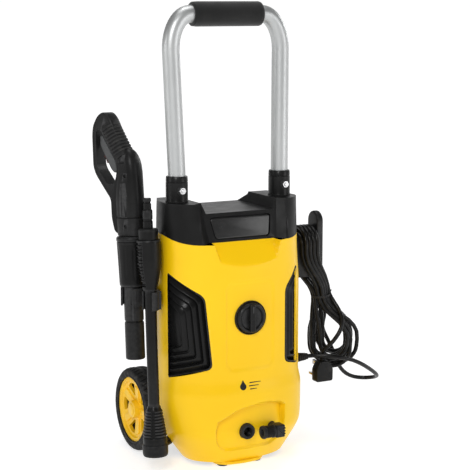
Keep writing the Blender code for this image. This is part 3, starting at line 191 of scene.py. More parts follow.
# ---- mesh tools -----------------------------------------------------------------------------
class Shape:
    """Vertices in machine millimetres and faces, built up from one or more closed skins."""

    def __init__(self):
        self.verts, self.faces = [], []

    def add(self, verts, faces, matrix=None):
        base = len(self.verts)
        self.verts += [tuple(matrix @ Vector(v)) if matrix else tuple(v) for v in verts]
        self.faces += [tuple(base + i for i in face) for face in faces]
        return self

    def mesh(self, name, angle=32):
        mesh = bpy.data.meshes.new(name)
        mesh.from_pydata([place(*v) for v in self.verts], [], self.faces)
        mesh.update()
        bm = bmesh.new()
        bm.from_mesh(mesh)
        bmesh.ops.recalc_face_normals(bm, faces=bm.faces)
        bm.to_mesh(mesh)
        bm.free()
        mesh.shade_smooth()
        mesh.set_sharp_from_angle(angle=math.radians(angle))
        return mesh


def skin(rows, wrap=True, caps=True, ring=False):
    """Faces between rows of points: wrap closes each row, ring joins the last row to the first."""
    count, levels = len(rows[0]), len(rows)
    verts = [point for row in rows for point in row]
    faces = []
    for level in range(levels if ring else levels - 1):
        base, above = level * count, (level + 1) % levels * count
        for column in range(count if wrap else count - 1):
            side = (column + 1) % count
            faces.append((base + column, base + side, above + side, above + column))
    if caps and not ring:
        top = (levels - 1) * count
        faces += [tuple(reversed(range(count))), tuple(range(top, top + count))]
    return verts, faces


def blend(first, second, t):
    return [a + (b - a) * t for a, b in zip(first, second)]


def squared(value, power):
    """A sine or cosine bent towards its limits, which makes a circle squarer; the sign is kept."""
    return math.copysign(abs(value) ** power, value)


def mirrored(half):
    """A line of flat points from the right side to the middle, with its mirror image on the left."""
    return half + [(-x, y) for x, y in reversed(half[:-1])]


def divided(line, parts):
    """The line with each stretch from a to b cut into parts(a, b) equal pieces."""
    out = []
    for a, b in zip(line, line[1:]):
        count = parts(a, b)
        out += [tuple(p + (q - p) * k / count for p, q in zip(a, b)) for k in range(count)]
    return out + [tuple(line[-1])]


def box(left, low, right, high):
    return [(left, low), (right, low), (right, high), (left, high)]


def chamfered(left, low, right, high, cut):
    """A rectangle with its corners cut off, anticlockwise."""
    return [(left + cut, low), (right - cut, low), (right, low + cut), (right, high - cut),
            (right - cut, high), (left + cut, high), (left, high - cut), (left, low + cut)]


def fillet(points, radius, steps=4, closed=True):
    """Round the corners of a flat line of points; radius is a number or one for each corner."""
    points = [Vector(p) for p in points]
    out = []
    for i, p in enumerate(points):
        reach = radius[i] if isinstance(radius, (list, tuple)) else radius
        if not closed and i in (0, len(points) - 1) or reach <= 0:
            out.append(p)
            continue
        a, b = points[i - 1] - p, points[(i + 1) % len(points)] - p
        r = min(reach, 0.46 * a.length, 0.46 * b.length)
        start, end = p + a.normalized() * r, p + b.normalized() * r
        for step in range(steps + 1):
            t = step / steps
            out.append(start * (1 - t) ** 2 + p * 2 * t * (1 - t) + end * t * t)
    return out


def offset(outline, distance):
    """Move a closed flat outline inward by distance (outline anticlockwise)."""
    out = []
    for i, p in enumerate(outline):
        a = (p - outline[i - 1])
        b = (outline[(i + 1) % len(outline)] - p)
        normal = Vector((-(a.normalized().y + b.normalized().y), a.normalized().x + b.normalized().x))
        if normal.length < 1e-6:
            out.append(p.copy())
            continue
        normal.normalize()
        lean = max(0.35, normal.dot(Vector((-a.normalized().y, a.normalized().x))))
        out.append(p + normal * distance / lean)
    return out


def prism(outline, low, high, edge, steps):
    """A plate with rounded rims from a flat outline in XY."""
    outline = [Vector(p) for p in outline]
    area = sum(p.x * q.y - q.x * p.y for p, q in zip(outline, outline[1:] + outline[:1]))
    if area < 0:
        outline.reverse()
    turns = [math.pi / 2 * step / steps for step in range(steps + 1)]
    rims = [(edge * (1 - math.sin(t)), low + edge * (1 - math.cos(t))) for t in turns]
    rims += [(edge * (1 - math.cos(t)), high - edge * (1 - math.sin(t))) for t in turns]
    return skin([[(p.x, p.y, z) for p in offset(outline, inset)] for inset, z in rims])


def lathe(profile, steps=64, ring=False, wave=None):
    """A turned skin about Z. profile is (radius, height); wave(angle, radius, height) may change radius."""
    rows = []
    for radius, height in profile:
        row = []
        for i in range(steps):
            angle = TAU * i / steps
            r = wave(angle, radius, height) if wave else radius
            row.append((r * math.cos(angle), r * math.sin(angle), height))
        rows.append(row)
    return skin(rows, ring=ring)


def sweep(path, radius, sides):
    """A round bar along a line of points."""
    path = [Vector(p) for p in path]
    last = len(path) - 1
    tangent = [(path[min(i + 1, last)] - path[max(i - 1, 0)]).normalized() for i in range(len(path))]
    side = tangent[0].orthogonal().normalized()
    rows = []
    for p, along in zip(path, tangent):
        side = (side - along * side.dot(along)).normalized()
        other = along.cross(side)
        angles = [TAU * k / sides for k in range(sides)]
        rows.append([p + side * radius * math.cos(a) + other * radius * math.sin(a) for a in angles])
    return skin(rows)


def spline(points, per_span):
    """Catmull-Rom curve through the points."""
    pts = [Vector(p) for p in points]
    pts = [pts[0] * 2 - pts[1]] + pts + [pts[-1] * 2 - pts[-2]]
    path = []
    for i in range(1, len(pts) - 2):
        a, b, c, d = pts[i - 1:i + 3]
        for step in range(per_span):
            t = step / per_span
            path.append(0.5 * (2 * b + (c - a) * t + (2 * a - 5 * b + 4 * c - d) * t * t
                               + (3 * b - a - 3 * c + d) * t ** 3))
    path.append(pts[-2])
    return path


def ease(low, high, value):
    t = min(1, max(0, (value - low) / (high - low)))
    return t * t * (3 - 2 * t)


def quarter(axis, at, turns=1):
    """The matrix that moves to at after turning by quarter turns about one axis."""
    return Matrix.Translation(at) @ Matrix.Rotation(turns * math.pi / 2, 4, axis)


def turned(at, *values, **options):
    """A turned shape: what lathe() makes of the values, moved by a matrix if there is one."""
    return Shape().add(*lathe(*values, **options), at)


def plate(at, *values):
    """A plate with rounded rims: what prism() makes of the values, moved by a matrix if there is one."""
    return Shape().add(*prism(*values), at)


def slab(outline, low, high, matrix):
    """A plate with rims too small to see, for cutting."""
    return plate(matrix, outline, low, high, 0.05, 1)


def link(name, shape, material, replaced=None, body="washer", angle=32):
    """Put a shape or mesh in the scene as a visual piece on a body, in place of the CAD node named."""
    piece = bpy.data.objects.new(name, shape.mesh(name, angle) if isinstance(shape, Shape) else shape)
    bpy.context.scene.collection.objects.link(piece)
    piece.data.materials.clear()
    piece.data.materials.append(material)
    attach(piece, body)
    if replaced:
        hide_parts(replaced)
    return piece


def tool(shape):
    piece = bpy.data.objects.new("tool", shape.mesh("tool") if isinstance(shape, Shape) else shape)
    bpy.context.scene.collection.objects.link(piece)
    return piece


def boolean(mesh, cutters, angle=32):
    """Cut shapes out of a mesh and return the result as a new mesh."""
    base = tool(mesh)
    tools = [tool(shape) for shape in cutters]
    for item in tools:
        mod = base.modifiers.new("op", "BOOLEAN")
        mod.operation, mod.object, mod.solver = "DIFFERENCE", item, "EXACT"
    graph = bpy.context.evaluated_depsgraph_get()
    result = bpy.data.meshes.new_from_object(base.evaluated_get(graph))
    for item in [base] + tools:
        bpy.data.objects.remove(item, do_unlink=True)
    result.materials.clear()
    result.shade_smooth()
    result.set_sharp_from_angle(angle=math.radians(angle))
    return result


def soften(piece, width, segments=3, angle=38):
    mod = piece.modifiers.new("edges", "BEVEL")
    mod.width, mod.segments, mod.limit_method = width * MM, segments, "ANGLE"
    mod.angle_limit = math.radians(angle)
    mod.harden_normals = True
    return piece


# ---- camera, floor and light first --------------------------------------------------------------
def studio():
    scene = bpy.context.scene
    camera = bpy.data.objects.new("camera", bpy.data.cameras.new("camera"))
    scene.collection.objects.link(camera)
    scene.camera = camera
    camera.data.sensor_width = 36
    camera.data.lens = 112.4
    camera.data.clip_end = 200
    target = place(26, 0, 364)
    azimuth, elevation, distance = math.radians(28), math.radians(9.1), 2.4
    direction = Vector((-math.sin(azimuth) * math.cos(elevation), -math.cos(azimuth) * math.cos(elevation),
                        math.sin(elevation)))
    camera.location = target + direction * distance
    camera.rotation_euler = (-direction).to_track_quat("-Z", "Y").to_euler()

    mesh = bpy.data.meshes.new("floor")
    size, white = 70, (1, 1, 1, 1)
    mesh.from_pydata([(x, y, 0) for x, y in box(-size, -size, size, size)], [], [(0, 1, 2, 3)])
    floor = bpy.data.objects.new("floor", mesh)
    scene.collection.objects.link(floor)
    paper = surface("floor_paper", 0.6, 0.62, 0.85, 0.03, "noise", 3, 0.02,
                    tone_mm=900, specular=0.1)
    tree = paper.node_tree
    shader = tree.nodes["Principled BSDF"]
    # The floor glows: painted light that keeps it white and lightens the shadows on it. The glow is weaker
    # near the machine, which is painted shade around it.
    fill(shader, Emission_Color=white)
    spot = node(tree, "ShaderNodeTexCoord", (-1400, -700)).outputs["Object"]
    away = node(tree, "ShaderNodeVectorMath", (-1200, -700), operation="LENGTH")
    tree.links.new(spot, away.inputs[0])
    tree.links.new(remap(tree, away.outputs["Value"], 0.3, 3, 0.66, 0.97, (-1000, -700)),
                   shader.inputs["Emission Strength"])
    floor.data.materials.append(paper)

    world = bpy.data.worlds.new("studio")
    scene.world = world
    world.use_nodes = True
    tree = world.node_tree
    way = node(tree, "ShaderNodeTexCoord", (-1000, 0)).outputs["Generated"]
    facing = node(tree, "ShaderNodeVectorMath", (-800, 0), operation="DOT_PRODUCT")
    tree.links.new(way, facing.inputs[0])
    facing.inputs[1].default_value = (0.469, 0.883, 0)
    dim, bright = 0.12, 1.02
    glow = remap(tree, facing.outputs["Value"], 0.7, 0.93, dim, bright, (-600, 0))
    height = node(tree, "ShaderNodeSeparateXYZ", (-800, -200))
    tree.links.new(way, height.inputs[0])
    level = maths(tree, "ABSOLUTE", (-600, -200), height.outputs["Z"])
    band = remap(tree, level, 0.04, 0.09, bright, dim, (-400, -200))
    both = maths(tree, "MAXIMUM", (-200, 0), glow, band)
    tree.links.new(both, tree.nodes["Background"].inputs["Strength"])
    fill(tree.nodes["Background"], Color=white)
    lights = (("key", (-1.6, -2.1, 1.9), 0.9, 38), ("fill", (1.7, -2, 0.8), 1.2, 12),
              ("top", (0.1, 0.2, 2.7), 1.3, 22), ("left", (-2.2, 0.3, 0.9), 0.7, 5),
              ("right", (2, 0.5, 1.1), 0.7, 8))
    for name, spot, size, power in lights:
        lamp = bpy.data.lights.new(name, "AREA")
        lamp.shape, lamp.size, lamp.energy = "SQUARE", size, power
        item = bpy.data.objects.new(name, lamp)
        scene.collection.objects.link(item)
        item.location = spot
        item.rotation_euler = (Vector((0, 0, 0.35)) - Vector(spot)).to_track_quat("-Z", "Y").to_euler()
    scene.view_settings.view_transform = "Standard"


studio()


# ---- the mains lead ------------------------------------------------------------------------------
CORD_RADIUS, LEAST_BEND = 3.55, 21
FREE_ROUTE = [(152.6, -22, 151), (160.5, -23.2, 151.1), (171, -29.2, 151.4), (185.5, -39.6, 150.9),
              (205, -46.6, 147.5), (228, -46, 140.5), (256, -37, 126.5), (283, -23.5, 110),
              (299, -12, 99), (307.3, 2.5, 91.5), (306, 17, 86.5), (296.5, 28.5, 84.5),
              (281.5, 34, 87), (266, 33.8, 94.5), (252.5, 30, 106), (243, 26.8, 119),
              (237.6, 27, 132.5)]
TWIST = math.radians(62)
INNER, OUTER = 5, 4
PITCH = 7.15


def hank_strand(turn):
    """Place across the bundle, and half-widths of the loop at the top, waist and bottom, for one turn."""
    if turn < INNER:
        across = (INNER - 1) / 2 - turn
        return across * PITCH, 21.3, 3.1, (22, 26, 22.5, 27, 23)[turn], (-2, 4, 8, -4, 9)[turn]
    index = turn - INNER
    across = index - (OUTER - 1) / 2
    return across * PITCH, 28.3, 9.3, (32.5, 36.5, 34, 38.5)[index], (-3, -6, 3, -8)[index]


DRIFT = (-7, -1, -6, 6, -1, 3, -5, 2, -1)
WAIST, LOBE = Vector((191, 0)), Vector((213, -3))


def plan_point(centre, swing, u, v, z):
    """The point u along and v across from a centre, on axes turned by swing in plan."""
    return Vector((centre[0] + u * math.cos(swing) - v * math.sin(swing),
                   centre[1] + u * math.sin(swing) + v * math.cos(swing), z))


def lobe_offset(turn, t):
    """How far one turn stands back and to the side in the open lower lobe."""
    across = hank_strand(turn)[0]
    return across * (1 + 1.02 * t) + 7 * t, DRIFT[turn] * t


def hank_point(turn, side, z):
    """Where one side of a turn passes a height: narrow at the tie, wider at the hook and in the lobe."""
    across, top, waist, bottom, _ = hank_strand(turn)
    sideways = 0
    if z > 248:
        t = ease(248, 322, z)
        half, centre = waist + (top - waist) * t, Vector((WAIST.x - 30.2 * t, 8 * t))
        swing = TWIST * 0.5 * (1 - ease(248, 330, z))
    else:
        t = 1 - ease(184, 248, z)
        half, centre = waist + (bottom - waist) * t, WAIST.lerp(LOBE, t)
        swing = TWIST * (0.5 + 0.5 * (1 - ease(180, 248, z)))
        across, sideways = lobe_offset(turn, t)
    return plan_point(centre, swing, across, side * half + sideways, z)


def cord_points():
    """The lead's knots: the loose loop, the way in, the turns of the hank and the way down to the plug."""
    points = [Vector(p) for p in FREE_ROUTE]
    points += [Vector(p) for p in ((231.8, 30.6, 148), (224, 34.8, 166))]
    turns = INNER + OUTER
    floor_z, top_z = 164, 339
    levels = (184, 205, 227, 248, 266, 286, 306, 324)
    for turn in range(turns):
        points += [hank_point(turn, 1, z) for z in levels]
        across, top = hank_strand(turn)[:2]
        for i in range(9):
            angle = math.pi * i / 8
            points.append(Vector((160.8 + across, 8 + top * math.cos(angle),
                                  top_z + top * math.sin(angle))))
        if turn == turns - 1:
            points += [hank_point(turn, -1, z) for z in reversed(levels[4:])]
            break
        points += [hank_point(turn, -1, z) for z in reversed(levels)]
        start, end = hank_strand(turn), hank_strand(turn + 1)
        before, after = lobe_offset(turn, 1), lobe_offset(turn + 1, 1)
        for i in range(9):
            angle = math.pi * i / 8
            t = i / 8
            half, lift, u, v = blend((*start[3:], *before), (*end[3:], *after), t)
            points.append(plan_point(LOBE, TWIST, u, v - half * math.cos(angle),
                                     floor_z + lift - half * math.sin(angle)))
    points += [Vector(p) for p in ((204.6, -6, 250.5), (209.6, -12.6, 237.5), (213.8, -22.4, 224.5),
                                   (213.4, -33.4, 211), (207.4, -40.2, 197), (198.4, -40.6, 183.5),
                                   (190, -35.8, 171), (182, -28.4, 160.5), (180.5, -26.6, 155.4),
                                   (180, -26, 150.6))]
    return points


def relaxed(line):
    """Ease out the few places where the line bends more tightly than a lead this thick would."""
    for _ in range(120):
        moved = [p.copy() for p in line]
        for i in range(2, len(line) - 2):
            a, b, c = line[i - 1], line[i], line[i + 1]
            sides = (b - a).length * (c - b).length * (c - a).length
            if sides < 2 * (b - a).cross(c - a).length * LEAST_BEND:
                moved[i] = b.lerp((a + c) / 2, 0.3)
        line = moved
    return line


def mains_lead():
    """The lead as one curve, and its length along the centre line in metres."""
    knots = cord_points()
    curve = bpy.data.curves.new("mains_lead", "CURVE")
    curve.dimensions = "3D"
    curve.bevel_depth = CORD_RADIUS * MM
    curve.bevel_resolution = 4
    curve.use_fill_caps = True
    line = relaxed(spline(knots, 2))
    item = curve.splines.new("POLY")
    item.points.add(len(line) - 1)
    for target, point in zip(item.points, line):
        target.co = (*place(*point), 1)
    item.use_smooth = True
    piece = bpy.data.objects.new("mains_lead", curve)
    bpy.context.scene.collection.objects.link(piece)
    curve.materials.append(JACKET)
    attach(piece, "washer")
    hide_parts("cord_free", "cord_hank", "cord_tail")
    return piece, sum((b - a).length for a, b in zip(line, line[1:])) * MM


PLUG_AT = (180, -26, 124)


def plug():
    """Moulded plug with a finger waist, relief ribs and flat pins."""
    outline = fillet([(-16, -18), (16, -18), (16.4, 4), (10, 15.5), (6.5, 18), (-6.5, 18), (-10, 15.5),
                      (-16.4, 4)], 4, 5)
    shape = plate(quarter("X", PLUG_AT), outline, -9, 9, 2.6, 4)
    ribs = [(0, 28), (4.6, 28), (4.9, 27.4)]
    for index in range(3):
        z = 26.4 - 3 * index
        ribs += [(5 + 0.3 * index, z), (4 + 0.3 * index, z - 0.6), (4 + 0.3 * index, z - 1.4),
                 (5.2 + 0.3 * index, z - 2)]
    ribs += [(6.2, 16.5), (6.6, 15), (0, 15)]
    shape.add(*lathe(ribs, 32), Matrix.Translation(PLUG_AT))
    body = link("plug_body", shape, JACKET, "mains_plug")
    pins = Shape()
    for dx, dz, wide, thick, end in ((0, 9, 2, 4, 31), (9, -8, 3.1, 2, 26), (-9, -8, 3.1, 2, 26)):
        flat = fillet(box(-wide, -thick, wide, thick), 0.6, 2)
        pins.add(*prism(flat, 8.4, end, 0.9, 3), quarter("X", Vector(PLUG_AT) + Vector((dx, 0, dz)), -1))
    return body, link("plug_pins", pins, STEEL)


def strain_relief():
    """Tapered ribbed boot that the lead comes out of, on a flanged nut."""
    profile = [(0, 116), (11, 116), (11, 122.4), (10.4, 123.4), (9, 123.6), (8.7, 124.4)]
    for index in range(6):
        x, r = 126 + 3.9 * index, 8.5 - 0.45 * index
        profile += [(r, x), (r, x + 1.9), (r - 1.3, x + 2.3), (r - 1.3, x + 3.5)]
    profile += [(5.6, 150.6), (5.3, 151.6), (4.4, 152), (0, 152)]

    def hexed(angle, radius, height):
        if height < 123 and radius > 10:
            sector = (angle + math.pi / 6) % (math.pi / 3) - math.pi / 6
            return min(radius, 9.9 / math.cos(sector))
        return radius

    at = quarter("Y", (0, -22, 151))
    shape = turned(at, profile, 48, wave=hexed)
    link("gland_boot", shape, RUBBER, "strain_relief")


def tie():
    """Wire tie wound twice round the waist of the hank, with its twisted end."""
    path = []
    for i in range(97):
        angle = TAU * 2 * i / 96
        path.append(plan_point(WAIST, TWIST / 2, 19.6 * math.cos(angle), 14.6 * math.sin(angle),
                               246.2 + 3.4 * i / 96))
    x, y, z = path[0]
    tail = [(x, y, z), (x + 3, y - 1, z + 1), (x + 5, y - 4, z + 4), (x + 5.5, y - 8, z + 9)]
    shape = Shape().add(*sweep(path, 1.1, 10)).add(*sweep(spline(tail, 6), 1, 10))
    return link("hank_tie", shape, RUBBER, "cord_tie")


lead, lead_length = mains_lead()
plug_pieces = plug()
strain_relief()
hank_tie = tie()


# ---- shell surfaces --------------------------------------------------------------------------------
HALF_WIDTH, FRONT_DEPTH, WIDEST_Y, PLAN_POWER = 118, 82, -20, 2.3
SPLIT_Y, SPLIT_INSET, SHELL_TOP = 6, 5, 367
WALL, REAR_WALL = 2.6, 2.4
SWITCH_Z, PORT_Z, OUTLET_X, INLET_X = 248, 62, -4, 44
WHEEL_Y, WHEEL_Z = 82, 69.5


def plan_growth(z):
    drop = 60 - z
    return 4 * (1 - ease(122, 150, z)) - 0.29 * (drop + math.hypot(drop, 9))


def tuck(x, z):
    """The left flank runs in more towards the floor; the right one stands out a little below the cover."""
    drop = 100 - z
    x += 0.08 * (drop + math.hypot(drop, 8)) * ease(20, 84, -x)
    return x + 4.4 * (1 - ease(285, 357, z)) * ease(40, 100, x)


def split_rise(y):
    """The line between the cover and the shells climbs from the front towards the sides."""
    return 13 * ease(-88, -15, y)


def on_flanks(ring, z):
    """One level of a shell: the flanks run in or out, and near the top the level follows the split line."""
    return [(tuck(x, z), y, z + split_rise(y) * ease(300, SHELL_TOP, z)) for x, y in ring]


def front_edge_y(x, growth):
    share = min(1, abs(x) / (HALF_WIDTH + growth))
    return WIDEST_Y - (FRONT_DEPTH + growth) * (1 - share ** PLAN_POWER) ** (1 / PLAN_POWER)


def within(x, z, corners, soft):
    """How far inside a convex outline (anticlockwise) a point is, from 0 outside to 1 inside."""
    inside = 1e9
    for (ax, az), (bx, bz) in zip(corners, corners[1:] + corners[:1]):
        length = math.hypot(bx - ax, bz - az)
        inside = min(inside, ((bx - ax) * (z - az) - (bz - az) * (x - ax)) / length)
    return ease(0, soft, inside)


POCKET = [(-40, 29), (44, 29), (58, 38), (66, 56), (66, 98), (58, 104), (36, 108.5),
          (5, 107.5), (-22, 102), (-58, 84), (-64, 66), (-62, 48), (-54, 36)]
SHIELD = chamfered(-42, 164, 44, 306, 8)


def relief(x, y, z, inset=0):
    """The front face pressed in: the recess under the cover, the pocket of the ports and the shield."""
    if z > 326:
        slope = (z - 334) / 33
        corner = 11 * (1 - ease(330, 342, z)) ** 1.5
        side = 1 - ease(46 + 9 * slope - corner, 50 + 9 * slope - corner, abs(x))
        floor = -102 + 25 * max(0, slope) + 1.4 * ease(330.5, 333.5, z) * (1 - max(0, slope)) + inset
        y += side * max(0, floor - y)
    y += 12 * within(x, z, POCKET, 5) * (0.35 + 0.65 * ease(30, 96, z))
    y += 1.5 * within(x, z, SHIELD, 2.6)
    return y


def front_row(z, columns, inset=0, carve=True):
    growth = plan_growth(z) - inset
    split = HALF_WIDTH + growth - SPLIT_INSET
    right = [(split, SPLIT_Y), (split + 1.6, SPLIT_Y - 5), (HALF_WIDTH + growth - 1.6, -4),
             (HALF_WIDTH + growth - 0.3, -12)]
    for i in range(columns + 1):
        angle = math.pi / 2 * (1 - (i / columns))
        x = (HALF_WIDTH + growth) * math.sin(angle) ** (2 / PLAN_POWER)
        right.append((x, front_edge_y(x, growth)))
    ring = [(-x, y) for x, y in right] + [(x, y) for x, y in reversed(right[:-1])]
    if carve:
        ring = [(x, relief(x, y, z, inset)) for x, y in ring]
    return on_flanks(ring, z)


def front_shell():
    levels = [8, 9, 11] + [14 + 2.2 * i for i in range(42)] + [106.5 + 3.2 * i for i in range(14)]
    levels += [151 + 3 * i for i in range(59)] + [327 + 1.6 * i for i in range(26)]
    outer = [front_row(z, 80) for z in levels]
    inner = [front_row(z, 80, WALL) for z in levels]
    rows = [list(a) + list(reversed(b)) for a, b in zip(outer, inner)]
    rows[0] = [(x, y, 8) for x, y, _ in rows[0]]
    verts, faces = skin(rows, True, False)
    count, half = len(rows[0]), len(outer[0])
    for base in (0, (len(rows) - 1) * count):
        faces += [(base + i, base + count - 1 - i, base + count - 2 - i, base + i + 1)
                  for i in range(half - 1)]
    shell = Shape().add(verts, faces)
    cutters = [grille_hole(label) for label in GRILLES]
    for x, z, radius in ((0, SWITCH_Z, 27.6), (OUTLET_X, PORT_Z, 13.1), (INLET_X, PORT_Z, 9)):
        at = quarter("X", (x, 0, z))
        cutters.append(turned(at, [(radius, 60), (radius, 130)], 72))
    mesh = boolean(shell, cutters, angle=28)
    piece = link("front_housing", mesh, YELLOW, "front_shell")
    soften(piece, 0.7, 2, 50)


# ---- air grilles -------------------------------------------------------------------------------------
# For each side: its sign, and the heights of the opening's top at the back, of its apex and of its floor.
GRILLES = {"left": (-1, 321, 287, 168), "right": (1, 358, 297.5, 166)}
CORNER_X, CORNER_Y = 0.75, 0.66
BACK, LOW_SLOPE = -60, 0.25
LEANS = {"left": 0.098, "right": 0}
EDGE = {"left": -60, "right": -23.5}
NEAR = {"left": 3.6, "right": 9.5}


def grille_frame(label, inset, back=BACK):
    """Four corners of the opening, as (distance along the corner's tangent, height), set in by inset."""
    _, top, apex, floor = GRILLES[label]
    lean = LEANS[label]
    slope = (apex - top) / 60.5
    top_z = top - inset * math.hypot(1, slope)
    front_w = NEAR[label] - inset * 1.005 + lean * (apex - 9)
    bottom_z = floor - 17 + inset * 1.03
    upper = (top_z + slope * (front_w - BACK)) / (1 + slope * lean)
    lower = (bottom_z + LOW_SLOPE * (front_w - BACK)) / (1 + LOW_SLOPE * lean)
    return [(back, top_z + slope * (back - BACK)), (front_w - lean * upper, upper),
            (front_w - lean * lower, lower), (back, bottom_z + LOW_SLOPE * (back - BACK))]


def corner_point(w, z, sign, inset):
    """The point of the housing's skin at w along the corner's tangent, set in by inset."""
    growth = plan_growth(z) - inset
    low, high = 0, math.pi / 2
    for _ in range(30):
        angle = (low + high) / 2
        x = -(HALF_WIDTH + growth) * math.sin(angle) ** (2 / PLAN_POWER)
        if CORNER_X * x - CORNER_Y * front_edge_y(x, growth) > w:
            low = angle
        else:
            high = angle
    return (tuck(x * -sign, z), front_edge_y(x, growth), z)


def grille_outline(label, inset=0, steps=5):
    back_top, front_top, front_low, back_low = grille_frame(label, inset, EDGE[label])
    return fillet([back_low, front_low, front_top, back_top], [3, 9, 10, 3], steps)


def grille_hole(label):
    sign = GRILLES[label][0]
    tangent = Vector((CORNER_X, -CORNER_Y, 0)).normalized()
    normal = Vector((-CORNER_Y, -CORNER_X, 0)).normalized()
    rows = []
    for depth in (55, 175):
        row = []
        for w, z in grille_outline(label):
            point = tangent * (w / math.hypot(CORNER_X, CORNER_Y)) + normal * depth
            row.append((point.x * -sign, point.y, z))
        rows.append(row)
    return Shape().add(*skin(rows))


def terrace(depth):
    """Inset of the grille's surface at a distance in from its rim: ramps that rise to a ridge and drop."""
    period = 10.6
    level, along = divmod(depth - 3.2, period)
    low, high = 8.2, 1.4 + 0.9 * level
    if along > period - 1.6:
        return high + (low - high) * ease(period - 1.3, period, along)
    return low + (high - low) * min(1, along / (period - 2.4)) ** 0.8


def grille(label):
    """Black tray in the opening: a rim, then nested angular terraces that run out to the side edge."""
    sign = GRILLES[label][0]

    def rim_ring(shrink, inset):
        return [corner_point(p.x, p.y, sign, inset) for p in grille_outline(label, shrink, 6)]

    rings = []
    for inset, shrink in ((0.2, 0), (-0.6, 0.5), (-0.6, 1.8), (0.2, 2.4), (8.5, 3)):
        rings.append(rim_ring(0.35 + shrink, inset))
    back, outer_back = rim_ring(3.9, 10.5), rim_ring(0.35, 12)
    shape = Shape().add(*skin([outer_back] + rings + [back]))
    rows, depth = [], 2.9
    while depth < 47:
        corners = grille_frame(label, depth, EDGE[label] + 1.6)
        if corners[1][0] - corners[0][0] < 7.5 or corners[1][1] - corners[2][1] < 12:
            break
        radius = 3 + 0.12 * depth
        line = fillet(corners, [0, radius + 3, radius, 0], 5, closed=False)
        rows.append([corner_point(x, z, sign, terrace(depth)) for x, z in divided(line, lambda a, b: 5)])
        depth += 0.42
    verts, faces = skin(rows, False, False)
    last = (len(rows) - 1) * len(rows[0])
    faces.append(tuple(range(last, last + len(rows[0]))))
    shape.add(verts, faces)
    link("vent_" + label, shape, TRIM, "grille_" + label, angle=40)


# ---- rear shell ----------------------------------------------------------------------------------------
LOWER_REAR = [(112, 9.3), (95, 9.5), (87, 14), (86, 30), (85, 62), (76, 92), (45, 98),
              (0, 99)]
UPPER_REAR = [(112.4, 7.6), (104, 23), (97, 36), (89, 50), (77, 73), (64, 92),
              (38, 98), (0, 99)]
REAR_PANELS = ((2.6, chamfered(-50, 190, 50, 348, 8)),
               (2, chamfered(-42, 56, 42, 132, 6)))


def rear_row(z):
    move = max(0, (37 - z) / 29) ** 1.5 * 12
    narrow = min(1, (HALF_WIDTH + plan_growth(z) - SPLIT_INSET - 1) / 112)
    half = [blend(low, high, ease(143, 160, z)) for low, high in zip(LOWER_REAR, UPPER_REAR)]
    half = [(x * narrow, y - move * ease(10, 60, y)) for x, y in half]
    return on_flanks(mirrored(fillet(half, 14, 5, closed=False)), z)


def rear_relief(x, y, z):
    """Shallow recessed panels on the rear face."""
    if y > 80:
        y -= sum(deep * within(x, z, outline, 3) for deep, outline in REAR_PANELS)
    return (x, y, z)


def rear_shell():
    levels = [8, 9.2, 11, 14, 18, 23, 29, 37] + [42 + 3 * i for i in range(33)]
    levels += [140 + 2 * i for i in range(12)] + [165 + 3 * i for i in range(67)] + [367]
    rows = []
    for z in levels:
        dense = divided(rear_row(z), lambda a, b: 12 if abs(a[0] - b[0]) > 20 else 3)
        rows.append([rear_relief(*p) for p in dense])
    base = tool(Shape().add(*skin(rows, False, False)))
    wall = base.modifiers.new("wall", "SOLIDIFY")
    wall.thickness, wall.offset = REAR_WALL * MM, 0
    solid = bpy.data.meshes.new_from_object(base.evaluated_get(bpy.context.evaluated_depsgraph_get()))
    bpy.data.objects.remove(base, do_unlink=True)
    at = quarter("Y", (0, WHEEL_Y, WHEEL_Z))
    cutters = [turned(at, [(5.6, -130), (5.6, 130)], 40)]
    for index in range(8):
        z = 222 + 13 * index
        cutters.append(slab(fillet(box(-34, z, 34, z + 5.4), 2.5, 4), -130, -80, ALONG_Y))
    mesh = boolean(solid, cutters, angle=30)
    piece = link("rear_housing", mesh, REAR_BLACK, "rear_shell")
    soften(piece, 0.5, 2, 50)
    slats = Shape()
    for index in range(7):
        z = 230.4 + 13 * index
        slats.add(*prism(box(-37, z, 37, z + 1.6), -93, -84, 0.6, 2), ALONG_Y)
    link("rear_slats", slats, DARK)
    link("rear_filter", slab(box(-40, 216, 40, 330), -84, -82, ALONG_Y), DARK)


# ---- top cover and handle ----------------------------------------------------------------------------
COVER_REAR = [(116, -2), (110, 12), (98, 40), (83, 70), (66, 92), (40, 99), (0, 100)]
COVER_LOW, DECK_Z, TOWER_Z = 367.3, 413, 430
LEG_X, LEG_Y, HANDLE_RADIUS, BOW_TOP = 92.5, -28, 14, 722


def cover_row(z):
    lean = (z - COVER_LOW) / (TOWER_Z - COVER_LOW)
    start = math.asin((72.3 / HALF_WIDTH) ** (PLAN_POWER / 2))
    right = [(60.4 + 8 * lean, -76.5 + 16 * lean), (72.3 + 10 * lean, -87 + 17 * lean)]
    for i in range(1, 19):
        angle = start + (math.pi / 2 - start) * i / 18
        x = HALF_WIDTH * math.sin(angle) ** (2 / PLAN_POWER) - 1.5 * lean
        y = front_edge_y(x, 0)
        right.append((x, y + 17 * lean * (1 - i / 18) * (-20 - y) / 82))
    rear = [(x - 1.5 * lean * (x > 0), y) for x, y in COVER_REAR]
    right += [(p.x, p.y) for p in fillet(rear, 8, 3, closed=False)]
    return [(x, y, z + split_rise(y) * (1 - lean)) for x, y in mirrored(right)]


ALONG_X = Matrix(((0, 0, 1, 0), (1, 0, 0, 0), (0, 1, 0, 0), (0, 0, 0, 1)))
ALONG_Y = Matrix(((1, 0, 0, 0), (0, 0, -1, 0), (0, 1, 0, 0), (0, 0, 0, 1)))
FRONT_SLOPE = Vector((0, 18, TOWER_Z - COVER_LOW)).normalized()
ON_FRONT = Matrix(((1, 0, 0, 0), (0, FRONT_SLOPE.y, -FRONT_SLOPE.z, -77),
                   (0, FRONT_SLOPE.z, FRONT_SLOPE.y, COVER_LOW), (0, 0, 0, 1)))


